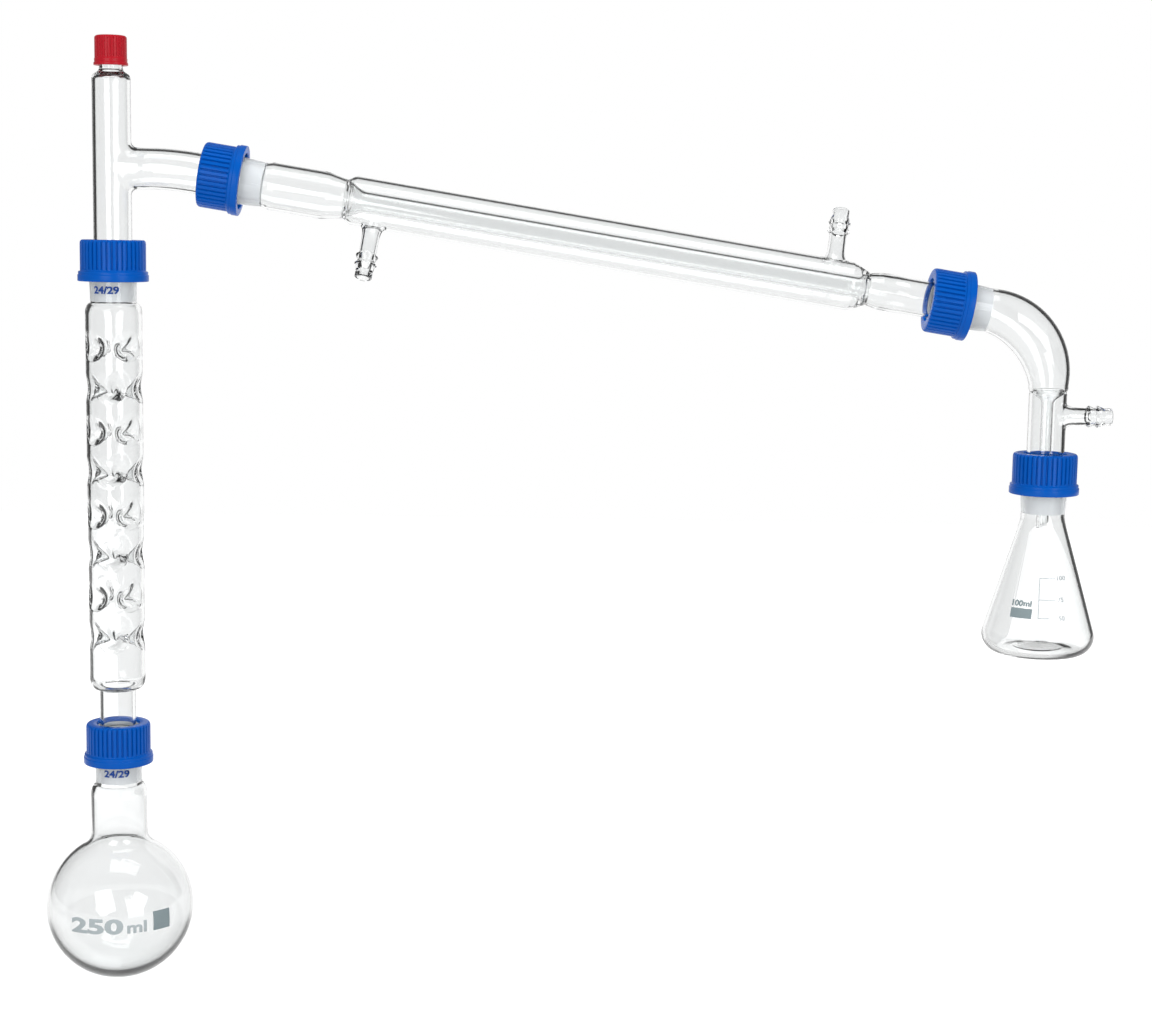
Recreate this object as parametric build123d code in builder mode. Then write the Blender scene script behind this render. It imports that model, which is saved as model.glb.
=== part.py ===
from build123d import *
from math import cos, radians, sin, sqrt, tan
import os

# Distillation apparatus, in millimetres. A round bottom flask carries a Vigreux
# column, a still head, a water condenser, a vacuum receiver adapter and a conical
# receiving flask. Every ground joint is held by a screw cap over a sealing ring.
#
# X runs from the column to the receiver, Y runs away from the viewer, Z is up.
# The origin is on the column's axis, where a clamp grips the flask's neck.

# Ground joint 24/29: cone and socket taper one in ten
cone_mouth_radius = 12.0
cone_length = 29.0
cone_taper = 0.05
ground_clearance = 0.05
cone_wall = 1.8
glass_wall = 1.8

# Socket's outside: threaded collar under the cap, then a tapering wall
collar_radius = 15.2
collar_length = 15.5
rim_radius = 13.9
flask_socket_radius = 13.5
column_socket_radius = 13.0
condenser_socket_radius = 13.1
adapter_socket_radius = 12.5
receiver_socket_radius = 12.6
collar_slope = 2.0
collar_edge = 1.0

# How far fused bodies run into each other
overlap = 1.0

# Tube above each cone, and the shoulder that the sealing ring sits round
stem_radius = 10.4
shoulder_height = 1.6
shoulder_radius = 12.0
shoulder_slope = 0.6
shoulder_blend_width = 1.0
stem_blend = 1.8

# Blue screw cap with its hole and wider foot
cap_height = 23.5
cap_above_mouth = 6.0
cap_radius = 18.5
cap_foot_radius = 20.0
cap_foot_height = 6.0
cap_plate = 2.0
cap_hole_radius = 12.4
cap_thread_clearance = 0.7

# Sealing ring of silicone and slip washer of PTFE inside each screw cap
ring_width = 1.8
ring_clearance = 0.1
washer_outer_radius = 14.6
washer_inner_radius = 12.1
washer_thickness = 1.6
seat_clearance = 0.1

# Round bottom flask, 250 ml
bulb_radius = 42.5
flask_height = 146.7
clamp_height = 94.0
neck_radius = 16.3
neck_top_height = 112.3
neck_shoulder_height = 115.5
neck_rounding = 5.0
neck_blend = 8.0
neck_seal_height = 79.8

# Vigreux column
column_pitch = 280.4
column_radius = 16.0
column_wall = 1.8
column_top_shoulder = 32.6
top_shoulder_height = 2.6
bottom_shoulder_height = 1.4
shoulder_rounding = 4.0
column_stem_length = 26.2
dent_rows = 8
dents_per_row = 4
dent_spacing = 24.0
dent_first_row = 53.8
dent_tilt = 18.0
dent_mouth_radius = 6.4
dent_knee_radius = 2.6
dent_knee_depth = 4.6
dent_tip_radius = 0.8
dent_tip_from_axis = 4.4
dent_wall = 1.2
dent_start = 4.0
dent_sides = 6
dent_stagger = 45.0

# Still head with its side arm
head_stem_radius = 10.8
arm_height = 46.4
arm_radius = 11.7
arm_root_width = 10.4
arm_bend_x = 34.0
arm_bend_tangent = 12.0
arm_slope = 8.8
arm_reach = 23.0
arm_flare = 4.0
arm_knee_flare = 1.0
arm_flare_start = 7.0
arm_flare_knee = 11.0
arm_flare_end = 18.0
head_tube_height = 98.6
head_neck_foot = 99.9
head_neck_height = 113.8
head_shoulder_rounding = 3.0
head_top_run = 10.0
inner_shoulder_drop = 1.6

# Red thermometer cap on a thread of 14 mm
thread_radius = 7.0
thread_length = 8.5
head_neck_radius = 6.3
head_neck_bore = 4.9
red_cap_radius = 9.0
red_cap_band_radius = 9.6
red_cap_height = 16.6
red_cap_band_height = 3.2
red_cap_plate = 1.6
red_cap_hole_radius = 4.0
red_cap_clearance = 0.4
seal_height = 3.4
seal_radius = 6.2
seal_plug_depth = 3.0
seal_plug_clearance = 0.2
thermometer_radius = 3.0
disc_thickness = 1.0

# Condenser: clear wide tube, inner tube, water jacket and two hose barbs
condenser_pitch = 420.4
wide_radius = 13.6
wide_end = 65.2
wide_rounding = 5.0
wide_shoulder = 3.0
waist_at = 76.0
inlet_waist_radius = 11.2
outlet_waist_radius = 9.2
inner_tube_radius = 6.0
inner_tube_wall = 1.2
jacket_end = 378.8
jacket_radius = 14.0
jacket_wall = 1.6
inlet_shoulder = 4.0
outlet_shoulder = 11.0
inlet_rounding = 3.0
outlet_rounding = 8.0
jacket_seal_gap = 1.0
lower_barb_at = 94.3
upper_barb_at = 357.9
outlet_stem_at = 386.0
outlet_radius = 10.4
condenser_roll = 22.0

# Hose barbs
water_barb_reach = 45.3
barb_radius = 4.9
barb_bore_radius = 2.8
barb_ridge_radius = 6.4
barb_ridge_rise = 1.0
barb_tip_radius = 4.9
barb_tip_length = 4.5
barb_ridge_length = 5.0
barb_flare_radius = 7.6
barb_flare_length = 7.5
barb_sink = 0.8
barb_root_blend = 5.0

# Receiver adapter
adapter_corner = 66.2
adapter_bend_radius = 43.0
adapter_mid_radius = 14.3
adapter_end_radius = 11.3
adapter_drop = 82.5
adapter_tube_radius = 10.8
adapter_step_radius = 9.4
adapter_bore_radius = 8.8
adapter_seal_drop = 40.9
vacuum_barb_drop = 54.9
vacuum_barb_reach = 37.3

# Drip tube inside the adapter
drip_rim_thickness = 1.5
drip_radius = 3.4
drip_wall = 1.0
drip_funnel_height = 5.0
drip_funnel_rounding = 4.0
drip_below_mouth = 38.4
drip_bevel = 5.4
drip_clearance = 0.15

# Conical receiving flask, 100 ml
receiver_height = 111.5
receiver_cone_radius = 36.1
receiver_heel_radius = 10.8
receiver_neck_length = 33.0
receiver_neck_blend = 14.0
receiver_neck_bore = 32.0

# Joint frames: origin at the centre of a socket's mouth, Z out of the socket
flask_base = -clamp_height
flask_joint = Plane(origin=(0, 0, flask_base + flask_height))
column_joint = flask_joint.offset(column_pitch)
run_direction = Vector(cos(radians(arm_slope)), 0, -sin(radians(arm_slope)))
arm_root = column_joint.origin + Vector(0, 0, arm_height)
arm_bend = arm_root + Vector(arm_bend_x, 0, 0)
condenser_joint = Plane(
    origin=arm_bend + run_direction * arm_reach, x_dir=(0, 1, 0), z_dir=-run_direction
)
adapter_joint = condenser_joint.offset(-condenser_pitch)
corner = adapter_joint.origin + run_direction * adapter_corner
receiver_joint = Plane(origin=corner - Vector(0, 0, adapter_drop))

cone_end_radius = cone_mouth_radius - cone_taper * cone_length
socket_low = -cone_length - overlap


def half_plane(frame):
    """Plane through a frame's axis: sketch X is the radius, sketch Y the height."""
    return Plane(origin=frame.origin, x_dir=frame.x_dir, z_dir=-frame.y_dir)


def turn(frame, outline, roundings, mode=Mode.ADD):
    """Revolve a closed outline of (radius, height) corners about a frame's axis."""
    with BuildSketch(half_plane(frame)) as profile:
        with BuildLine():
            FilletPolyline(*outline, radius=roundings, close=True)
        make_face()
    revolve(profile.sketch, axis=Axis(frame.origin, frame.z_dir), mode=mode)


def socket_outside(frame, end_radius):
    """Solid outside of a socket, with the collar that carries the cap's thread."""
    turn(
        frame,
        [(0, socket_low), (end_radius, socket_low), (end_radius, -cone_length)]
        + [(rim_radius, -collar_length - collar_slope), (collar_radius, -collar_length)]
        + [(collar_radius, -collar_edge), (rim_radius, 0), (0, 0)],
        [0, 0, 0, 0, 0, 0, 0, 0],
    )


def socket_bore(frame):
    """Ground taper inside a socket."""
    turn(
        frame,
        [(0, -cone_length), (cone_end_radius, -cone_length), (cone_mouth_radius, 0), (0, 0)],
        [0, 0, 0, 0],
        mode=Mode.SUBTRACT,
    )


def cone_outside(frame, top, top_radius):
    """Solid ground cone, its shoulder and the stem above it up to a height."""
    neck_radius = shoulder_radius - shoulder_blend_width
    turn(
        frame,
        [(0, -cone_length), (cone_end_radius - ground_clearance, -cone_length)]
        + [(cone_mouth_radius - ground_clearance, 0), (shoulder_radius, shoulder_height)]
        + [(neck_radius, shoulder_height + shoulder_slope)]
        + [(top_radius, shoulder_height + shoulder_slope + stem_blend), (top_radius, top), (0, top)],
        [0, 0, 0, 0, 0, 0, 0, 0],
    )


def cone_bore(frame, top, top_bore):
    """Bore of a ground cone and of the stem above it."""
    turn(
        frame,
        [(0, -cone_length), (cone_end_radius - cone_wall, -cone_length), (cone_mouth_radius - cone_wall, 0)]
        + [(top_bore, shoulder_height + shoulder_slope + stem_blend), (top_bore, top), (0, top)],
        [0, 0, 0, 0, 0, 0],
        mode=Mode.SUBTRACT,
    )


def barb_outside(frame, body_radius, reach):
    """Hose barb that leaves a tube's axis along a frame: flared root, ridges, plain tip."""
    root = sqrt(body_radius**2 - barb_flare_radius**2) - barb_sink
    first = reach - barb_tip_length - 2 * barb_ridge_length
    second = first + barb_ridge_length
    turn(
        frame,
        [(0, 0), (barb_flare_radius, 0), (barb_flare_radius, root), (barb_radius, root + barb_flare_length)]
        + [(barb_radius, first), (barb_ridge_radius, first + barb_ridge_rise), (barb_radius, second)]
        + [(barb_ridge_radius, second + barb_ridge_rise), (barb_tip_radius, second + barb_ridge_length)]
        + [(barb_tip_radius, reach), (0, reach)],
        [0, 0, 0, barb_root_blend, 0, 0, 0, 0, 0, 0, 0],
    )


def barb_bore(frame, reach):
    """Bore of a hose barb, from the tube's axis to the tip."""
    with BuildSketch(frame) as hole:
        Circle(barb_bore_radius)
    extrude(hole.sketch, amount=reach, mode=Mode.SUBTRACT)


def finish(piece, name):
    """Name a finished piece and write its file."""
    piece.part.label = name
    export_step(piece.part, f"parts/{name}.step")


os.makedirs("parts", exist_ok=True)

# Round bottom flask: the blown bulb, and the neck with its socket that is sealed on to it
bulb_centre = Plane(origin=(0, 0, flask_base + bulb_radius))
neck_join = sqrt(bulb_radius**2 - neck_radius**2)
neck_low = flask_base - flask_joint.origin.Z + bulb_radius
neck_high = neck_top_height - flask_height
shoulder_high = neck_shoulder_height - flask_height
neck_bore = neck_radius - glass_wall
with BuildPart() as whole_flask:
    with Locations(bulb_centre):
        Sphere(bulb_radius)
    turn(
        flask_joint,
        [(0, neck_low), (neck_radius, neck_low), (neck_radius, neck_high)]
        + [(flask_socket_radius, shoulder_high), (flask_socket_radius, -cone_length), (0, -cone_length)],
        [0, 0, neck_rounding, 0, 0, 0],
    )
    socket_outside(flask_joint, flask_socket_radius)
    neck_edges = edges().filter_by(GeomType.CIRCLE).filter_by(lambda e: abs(e.radius - neck_radius) < 0.01)
    fillet(neck_edges.sort_by(Axis.Z)[0], radius=neck_blend)
    with Locations(bulb_centre):
        Sphere(bulb_radius - glass_wall, mode=Mode.SUBTRACT)
    turn(
        flask_joint,
        [(0, neck_low), (neck_bore, neck_low), (neck_bore, neck_high)]
        + [(cone_end_radius, -cone_length), (0, -cone_length)],
        [0, 0, neck_rounding, 0, 0],
        mode=Mode.SUBTRACT,
    )
    socket_bore(flask_joint)
neck_seal = Plane(origin=(0, 0, flask_base + neck_seal_height))
with BuildPart() as round_bottom_flask:
    add(whole_flask.part)
    split(bisect_by=neck_seal, keep=Keep.BOTTOM)
finish(round_bottom_flask, "round_bottom_flask")
with BuildPart() as flask_socket:
    add(whole_flask.part)
    split(bisect_by=neck_seal, keep=Keep.TOP)
finish(flask_socket, "flask_socket")

# Vigreux column: the thorns are made first, trimmed to the tube, then joined to it
body_bottom = column_stem_length
body_top = column_pitch - column_top_shoulder
dent_depth = (column_radius - dent_tip_from_axis) / cos(radians(dent_tilt))
dent_frames = [
    Plane(
        origin=(
            column_radius * cos(radians(angle)),
            column_radius * sin(radians(angle)),
            column_joint.origin.Z - dent_first_row - row * dent_spacing,
        ),
        z_dir=(-cos(radians(angle)), -sin(radians(angle)), -tan(radians(dent_tilt))),
    )
    for row in range(dent_rows)
    for angle in [dent_stagger * (row % 2 == 0) + 360 / dents_per_row * dent for dent in range(dents_per_row)]
]


def thorns(extra):
    """All dents as pointed plugs with a wide mouth, thickened by an extra."""
    plugs = []
    for frame in dent_frames:
        sections = []
        for depth, radius in (
            (-dent_start, dent_mouth_radius),
            (0, dent_mouth_radius),
            (dent_knee_depth, dent_knee_radius),
            (dent_depth + extra, dent_tip_radius),
        ):
            with BuildSketch(frame.offset(depth)) as section:
                RegularPolygon(radius + extra, dent_sides)
            sections.append(section.sketch)
        plugs.append(loft(sections, ruled=True, mode=Mode.PRIVATE))
    return plugs


inner_bottom = body_bottom + column_wall
column_bore = column_radius - column_wall
stem_bore = stem_radius - column_wall
with BuildPart() as column_hollow:
    turn(
        flask_joint,
        [(0, inner_bottom), (stem_bore, inner_bottom), (column_bore, inner_bottom + bottom_shoulder_height)]
        + [(column_bore, body_top - inner_shoulder_drop), (cone_end_radius, column_pitch - cone_length)]
        + [(0, column_pitch - cone_length)],
        [0, 0, 0, 0, 0, 0],
    )
    add(thorns(dent_wall), mode=Mode.SUBTRACT)
with BuildPart() as vigreux_column:
    cone_outside(flask_joint, body_bottom, stem_radius)
    turn(
        flask_joint,
        [(0, body_bottom - overlap), (stem_radius, body_bottom - overlap), (stem_radius, body_bottom)]
        + [(column_radius, body_bottom + bottom_shoulder_height), (column_radius, body_top)]
        + [(column_socket_radius, body_top + top_shoulder_height), (0, body_top + top_shoulder_height)],
        [0, 0, 0, shoulder_rounding, shoulder_rounding, 0, 0],
    )
    socket_outside(column_joint, column_socket_radius)
    cone_bore(flask_joint, inner_bottom + overlap, stem_bore)
    socket_bore(column_joint)
    add(column_hollow.part, mode=Mode.SUBTRACT)
    add(thorns(0), mode=Mode.SUBTRACT)
finish(vigreux_column, "vigreux_column")

# Still head: stem, threaded top and a side arm that bends down to the condenser
arm_frame = Plane(origin=arm_root, x_dir=(0, 1, 0), z_dir=(1, 0, 0))
arm_straight = arm_bend_x - arm_bend_tangent
bend_end = arm_bend + run_direction * arm_bend_tangent
arm_top = (bend_end - condenser_joint.origin).length
head_top = column_joint.offset(head_neck_height)
thread_low = head_neck_height - thread_length
arm_bore = arm_radius - glass_wall
head_bore = head_stem_radius - glass_wall
head_body_top = head_tube_height - head_top_run
with BuildLine() as arm_line:
    arm_run = Line(arm_frame.offset(arm_flare_end - overlap).origin, arm_frame.offset(arm_straight).origin)
    TangentArc(arm_run @ 1, bend_end, tangent=Vector(1, 0, 0))


def arm_root_solid(wall, mode):
    """Flared root of the side arm, as wide as the head's tube, less a wall."""
    sections = []
    for reach, width, height in (
        (0, arm_root_width, arm_radius + arm_flare),
        (arm_flare_start, arm_root_width, arm_radius + arm_flare),
        (arm_flare_knee, arm_root_width, arm_radius + arm_knee_flare),
        (arm_flare_end, arm_radius, arm_radius),
    ):
        with BuildSketch(arm_frame.offset(reach)) as section:
            Ellipse(width - wall, height - wall)
        sections.append(section.sketch)
    loft(sections, ruled=True, mode=mode)


with BuildPart() as still_head:
    cone_outside(column_joint, head_body_top + overlap, head_stem_radius)
    turn(
        column_joint,
        [(0, head_body_top), (head_stem_radius, head_body_top)]
        + [(head_stem_radius, head_tube_height), (head_neck_radius, head_neck_foot)]
        + [(head_neck_radius, thread_low), (thread_radius, thread_low)]
        + [(thread_radius, head_neck_height), (0, head_neck_height)],
        [0, 0, head_shoulder_rounding, 0, 0, 0, 0, 0],
    )
    arm_root_solid(0, Mode.ADD)
    with BuildSketch(arm_frame.offset(arm_flare_end - overlap)) as arm_section:
        Circle(arm_radius)
    sweep(arm_section.sketch, path=arm_line.wire())
    cone_outside(condenser_joint, arm_top, arm_radius)
    cone_bore(column_joint, head_body_top + overlap, head_bore)
    turn(
        column_joint,
        [(0, head_body_top), (head_bore, head_body_top), (head_bore, head_tube_height - inner_shoulder_drop)]
        + [(head_neck_bore, head_neck_foot - inner_shoulder_drop), (head_neck_bore, head_neck_height)]
        + [(0, head_neck_height)],
        [0, 0, 0, 0, 0, 0],
        mode=Mode.SUBTRACT,
    )
    arm_root_solid(glass_wall, Mode.SUBTRACT)
    with BuildSketch(arm_frame.offset(arm_flare_end - overlap)) as arm_hollow:
        Circle(arm_bore)
    sweep(arm_hollow.sketch, path=arm_line.wire(), mode=Mode.SUBTRACT)
    cone_bore(condenser_joint, arm_top, arm_bore)
finish(still_head, "still_head")

# Condenser's inner tube: socket, clear wide tube, waist, straight tube, outlet cone
outlet_from_end = condenser_pitch - outlet_stem_at
inner_bore = inner_tube_radius - inner_tube_wall
outlet_bore = outlet_radius - glass_wall
wide_start = cone_length + wide_shoulder
with BuildPart() as condenser_inner_tube:
    turn(
        condenser_joint,
        [(0, -condenser_pitch + outlet_from_end), (outlet_radius, -condenser_pitch + outlet_from_end)]
        + [(outlet_waist_radius, -jacket_end), (inner_tube_radius, -jacket_end)]
        + [(inner_tube_radius, -waist_at), (inlet_waist_radius, -waist_at)]
        + [(wide_radius, -wide_end), (wide_radius, -wide_start)]
        + [(condenser_socket_radius, -cone_length), (0, -cone_length)],
        [0, 0, 0, 0, 0, 0, wide_rounding, 0, 0, 0],
    )
    socket_outside(condenser_joint, condenser_socket_radius)
    cone_outside(adapter_joint, outlet_from_end, outlet_radius)
    socket_bore(condenser_joint)
    turn(
        condenser_joint,
        [(0, -outlet_stem_at), (outlet_bore, -outlet_stem_at), (inner_bore, -jacket_end), (inner_bore, -waist_at)]
        + [(wide_radius - glass_wall, -wide_end), (wide_radius - glass_wall, -wide_start)]
        + [(cone_end_radius, -cone_length), (0, -cone_length)],
        [0, 0, 0, 0, wide_rounding, 0, 0, 0],
        mode=Mode.SUBTRACT,
    )
    cone_bore(adapter_joint, outlet_from_end, outlet_bore)
finish(condenser_inner_tube, "condenser_inner_tube")

# Condenser's jacket with its two water barbs, rolled about the condenser's axis
run_up = Vector(sin(radians(arm_slope)), 0, cos(radians(arm_slope)))
away = Vector(0, 1, 0)
roll_up = run_up * cos(radians(condenser_roll)) + away * sin(radians(condenser_roll))
lower_barb = Plane(origin=condenser_joint.offset(-lower_barb_at).origin, x_dir=run_direction, z_dir=-roll_up)
upper_barb = Plane(origin=condenser_joint.offset(-upper_barb_at).origin, x_dir=run_direction, z_dir=roll_up)
jacket_bore = jacket_radius - jacket_wall
seal_bore = inner_tube_radius + jacket_seal_gap
with BuildPart() as condenser_jacket:
    turn(
        condenser_joint,
        [(0, -jacket_end), (outlet_waist_radius, -jacket_end), (jacket_radius, -jacket_end + outlet_shoulder)]
        + [(jacket_radius, -waist_at - inlet_shoulder), (inlet_waist_radius, -waist_at), (0, -waist_at)],
        [0, 0, outlet_rounding, inlet_rounding, 0, 0],
    )
    for barb in (lower_barb, upper_barb):
        barb_outside(barb, jacket_radius, water_barb_reach)
    turn(
        condenser_joint,
        [(0, -jacket_end), (seal_bore, -jacket_end), (jacket_bore, -jacket_end + outlet_shoulder + jacket_wall)]
        + [(jacket_bore, -waist_at - inlet_shoulder - jacket_wall), (seal_bore, -waist_at), (0, -waist_at)],
        [0, 0, 0, 0, 0, 0],
        mode=Mode.SUBTRACT,
    )
    for barb in (lower_barb, upper_barb):
        barb_bore(barb, water_barb_reach)
finish(condenser_jacket, "condenser_jacket")

# Receiver adapter: socket, bend that swells in its middle, tube with vacuum barb, cone
bend_turn = 90 - arm_slope
bend_tangent = adapter_bend_radius * tan(radians(bend_turn / 2))
bend_start = corner - run_direction * bend_tangent
bend_centre = bend_start - run_up * adapter_bend_radius
bend_low = adapter_drop - bend_tangent
bend_start_at = adapter_corner - bend_tangent
seal_level = adapter_drop - adapter_seal_drop
bend_sections = 6


def bend_radius(share):
    """Tube's outer radius at a share of the bend, through start, middle and end."""
    start, middle, end = adapter_socket_radius, adapter_mid_radius, adapter_end_radius
    rise = start * (1 - share) * (1 - 2 * share)
    return rise + middle * 4 * share * (1 - share) + end * share * (2 * share - 1)


def bend_solid(wall, mode):
    """Loft round the bend, with the tube's radius less a wall."""
    sections = []
    for step in range(bend_sections + 1):
        share = step / bend_sections
        angle = radians(bend_turn * share)
        spoke = run_up * cos(angle) + run_direction * sin(angle)
        heading = run_direction * cos(angle) - run_up * sin(angle)
        frame = Plane(origin=bend_centre + spoke * adapter_bend_radius, x_dir=(0, 1, 0), z_dir=heading)
        with BuildSketch(frame) as section:
            Circle(bend_radius(share) - wall)
        sections.append(section.sketch)
    loft(sections, mode=mode)


vacuum_barb = Plane(origin=corner - Vector(0, 0, vacuum_barb_drop), x_dir=(0, 1, 0), z_dir=(1, 0, 0))
with BuildPart() as receiver_adapter:
    socket_outside(adapter_joint, adapter_socket_radius)
    bend_solid(0, Mode.ADD)
    turn(
        receiver_joint,
        [(0, seal_level - overlap), (adapter_tube_radius, seal_level - overlap), (adapter_end_radius, bend_low)]
        + [(0, bend_low)],
        [0, 0, 0, 0],
    )
    cone_outside(receiver_joint, seal_level, adapter_tube_radius)
    barb_outside(vacuum_barb, adapter_tube_radius, vacuum_barb_reach)
    socket_bore(adapter_joint)
    turn(
        adapter_joint,
        [(0, -bend_start_at), (cone_end_radius, -bend_start_at), (cone_end_radius, -cone_length)]
        + [(0, -cone_length)],
        [0, 0, 0, 0],
        mode=Mode.SUBTRACT,
    )
    bend_solid(glass_wall, Mode.SUBTRACT)
    turn(
        receiver_joint,
        [(0, seal_level), (adapter_step_radius, seal_level), (adapter_step_radius, bend_low), (0, bend_low)],
        [0, 0, 0, 0],
        mode=Mode.SUBTRACT,
    )
    cone_bore(receiver_joint, seal_level, adapter_bore_radius)
    barb_bore(vacuum_barb, vacuum_barb_reach)
finish(receiver_adapter, "receiver_adapter")

# Drip tube: a funnel seated on the adapter's inner ledge, with a bevelled tip
funnel_low = seal_level - drip_funnel_height
drip_bore = drip_radius - drip_wall
drip_low = -drip_below_mouth
rim_top = seal_level + drip_rim_thickness
rim_outer = adapter_step_radius - drip_clearance
funnel_outer = adapter_bore_radius - drip_clearance
bevel_centre = receiver_joint.origin + Vector(0, 0, drip_low + drip_bevel / 2)
with BuildPart() as drip_tube:
    turn(
        receiver_joint,
        [(drip_radius, drip_low), (drip_radius, funnel_low), (funnel_outer, seal_level), (rim_outer, seal_level)]
        + [(rim_outer, rim_top), (rim_outer - drip_wall, rim_top), (drip_bore, funnel_low), (drip_bore, drip_low)],
        [0, drip_funnel_rounding, 0, 0, 0, 0, drip_funnel_rounding, 0],
    )
    split(bisect_by=Plane(origin=bevel_centre, z_dir=(-drip_bevel, 0, 2 * drip_radius)), keep=Keep.TOP)
finish(drip_tube, "drip_tube")

# Conical receiving flask
receiver_base = -receiver_height
cone_height = receiver_height - receiver_neck_length
lean = (receiver_cone_radius - receiver_socket_radius) / cone_height
inner_line = glass_wall * sqrt(1 + lean**2)
inner_base_radius = receiver_cone_radius - lean * glass_wall - inner_line
with BuildPart() as conical_flask:
    turn(
        receiver_joint,
        [(0, receiver_base), (receiver_cone_radius, receiver_base), (receiver_socket_radius, -receiver_neck_length)]
        + [(receiver_socket_radius, -cone_length), (0, -cone_length)],
        [0, receiver_heel_radius, receiver_neck_blend, 0, 0],
    )
    socket_outside(receiver_joint, receiver_socket_radius)
    turn(
        receiver_joint,
        [(0, receiver_base + glass_wall), (inner_base_radius, receiver_base + glass_wall)]
        + [(cone_end_radius, -receiver_neck_bore), (cone_end_radius, -cone_length), (0, -cone_length)],
        [0, receiver_heel_radius - glass_wall, 0, 0, 0],
        mode=Mode.SUBTRACT,
    )
    socket_bore(receiver_joint)
finish(conical_flask, "conical_flask")

# Blue screw caps, slip washers and sealing rings, the same at every ground joint
cap_bore = collar_radius + cap_thread_clearance
cap_open = cap_above_mouth - cap_height
washer_low = shoulder_height + shoulder_slope + seat_clearance
ring_inner_radius = shoulder_radius + ring_clearance
for joint, name in (
    (flask_joint, "flask"),
    (column_joint, "column"),
    (condenser_joint, "condenser"),
    (adapter_joint, "adapter"),
    (receiver_joint, "receiver"),
):
    with BuildPart() as cap:
        turn(
            joint,
            [(cap_bore, cap_open), (cap_foot_radius, cap_open), (cap_foot_radius, cap_open + cap_foot_height)]
            + [(cap_radius, cap_open + cap_foot_height), (cap_radius, cap_above_mouth)]
            + [(cap_hole_radius, cap_above_mouth), (cap_hole_radius, cap_above_mouth - cap_plate)]
            + [(cap_bore, cap_above_mouth - cap_plate)],
            [0, 0, 0, 0, 0, 0, 0, 0],
        )
    finish(cap, f"{name}_cap")

    with BuildPart() as washer:
        with BuildSketch(joint.offset(washer_low)):
            Circle(washer_outer_radius)
            Circle(washer_inner_radius, mode=Mode.SUBTRACT)
        extrude(amount=washer_thickness)
    finish(washer, f"{name}_washer")

    with BuildPart() as ring:
        with BuildSketch(joint.offset(seat_clearance)):
            Circle(ring_inner_radius + ring_width)
            Circle(ring_inner_radius, mode=Mode.SUBTRACT)
        extrude(amount=washer_low - 2 * seat_clearance)
    finish(ring, f"{name}_sealing_ring")

# Thermometer's seal, its disc and the red screw cap on the still head
disc_low = seal_height + seat_clearance
red_plate_low = disc_low + disc_thickness + seat_clearance
red_cap_top = red_plate_low + red_cap_plate
red_cap_open = red_cap_top - red_cap_height
red_cap_bore = thread_radius + red_cap_clearance
plug_radius = head_neck_bore - seal_plug_clearance
with BuildPart() as thermometer_seal:
    turn(
        head_top,
        [(thermometer_radius, -seal_plug_depth), (plug_radius, -seal_plug_depth), (plug_radius, seat_clearance)]
        + [(seal_radius, seat_clearance), (seal_radius, seal_height), (thermometer_radius, seal_height)],
        [0, 0, 0, 0, 0, 0],
    )
finish(thermometer_seal, "thermometer_seal")

with BuildPart() as thermometer_disc:
    with BuildSketch(head_top.offset(disc_low)):
        Circle(seal_radius)
        Circle(thermometer_radius + seal_plug_clearance, mode=Mode.SUBTRACT)
    extrude(amount=disc_thickness)
finish(thermometer_disc, "thermometer_disc")

with BuildPart() as thermometer_cap:
    turn(
        head_top,
        [(red_cap_bore, red_cap_open), (red_cap_band_radius, red_cap_open)]
        + [(red_cap_band_radius, red_cap_open + red_cap_band_height)]
        + [(red_cap_radius, red_cap_open + red_cap_band_height), (red_cap_radius, red_cap_top)]
        + [(red_cap_hole_radius, red_cap_top), (red_cap_hole_radius, red_plate_low), (red_cap_bore, red_plate_low)],
        [0, 0, 0, 0, 0, 0, 0, 0],
    )
finish(thermometer_cap, "thermometer_cap")
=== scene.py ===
import logging
from collections.abc import Callable
from dataclasses import dataclass
from enum import Enum
from math import acos, asin, atan2, cos, degrees, pi, radians, sin, sqrt, tan

import bmesh
import bpy
from bpy.types import ID, GeometryNodeTree, Material, Mesh, Node, NodeSocket, NodeTree, Object, ShaderNodeTree
from mathutils import Matrix, Vector


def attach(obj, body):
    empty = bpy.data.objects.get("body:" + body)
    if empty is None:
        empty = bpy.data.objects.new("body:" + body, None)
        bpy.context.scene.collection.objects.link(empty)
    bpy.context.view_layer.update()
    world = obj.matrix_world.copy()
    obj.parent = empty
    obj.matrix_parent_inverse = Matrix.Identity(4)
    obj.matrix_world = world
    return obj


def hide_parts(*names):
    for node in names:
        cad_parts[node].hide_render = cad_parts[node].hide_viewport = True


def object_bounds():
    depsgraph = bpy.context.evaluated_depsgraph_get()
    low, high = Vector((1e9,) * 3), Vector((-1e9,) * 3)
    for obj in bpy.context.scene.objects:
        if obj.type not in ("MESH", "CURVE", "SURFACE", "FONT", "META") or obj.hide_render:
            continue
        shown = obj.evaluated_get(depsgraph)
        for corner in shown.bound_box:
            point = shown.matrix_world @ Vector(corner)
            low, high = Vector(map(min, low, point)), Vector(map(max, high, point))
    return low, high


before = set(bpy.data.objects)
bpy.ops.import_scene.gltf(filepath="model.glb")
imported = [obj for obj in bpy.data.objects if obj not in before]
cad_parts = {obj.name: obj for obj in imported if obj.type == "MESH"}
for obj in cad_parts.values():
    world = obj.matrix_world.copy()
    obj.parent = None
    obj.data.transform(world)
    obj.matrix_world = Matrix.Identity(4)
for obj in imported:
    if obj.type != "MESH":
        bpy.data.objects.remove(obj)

CAD_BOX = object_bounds()
MM = 0.001
WELD = 2e-6
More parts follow.
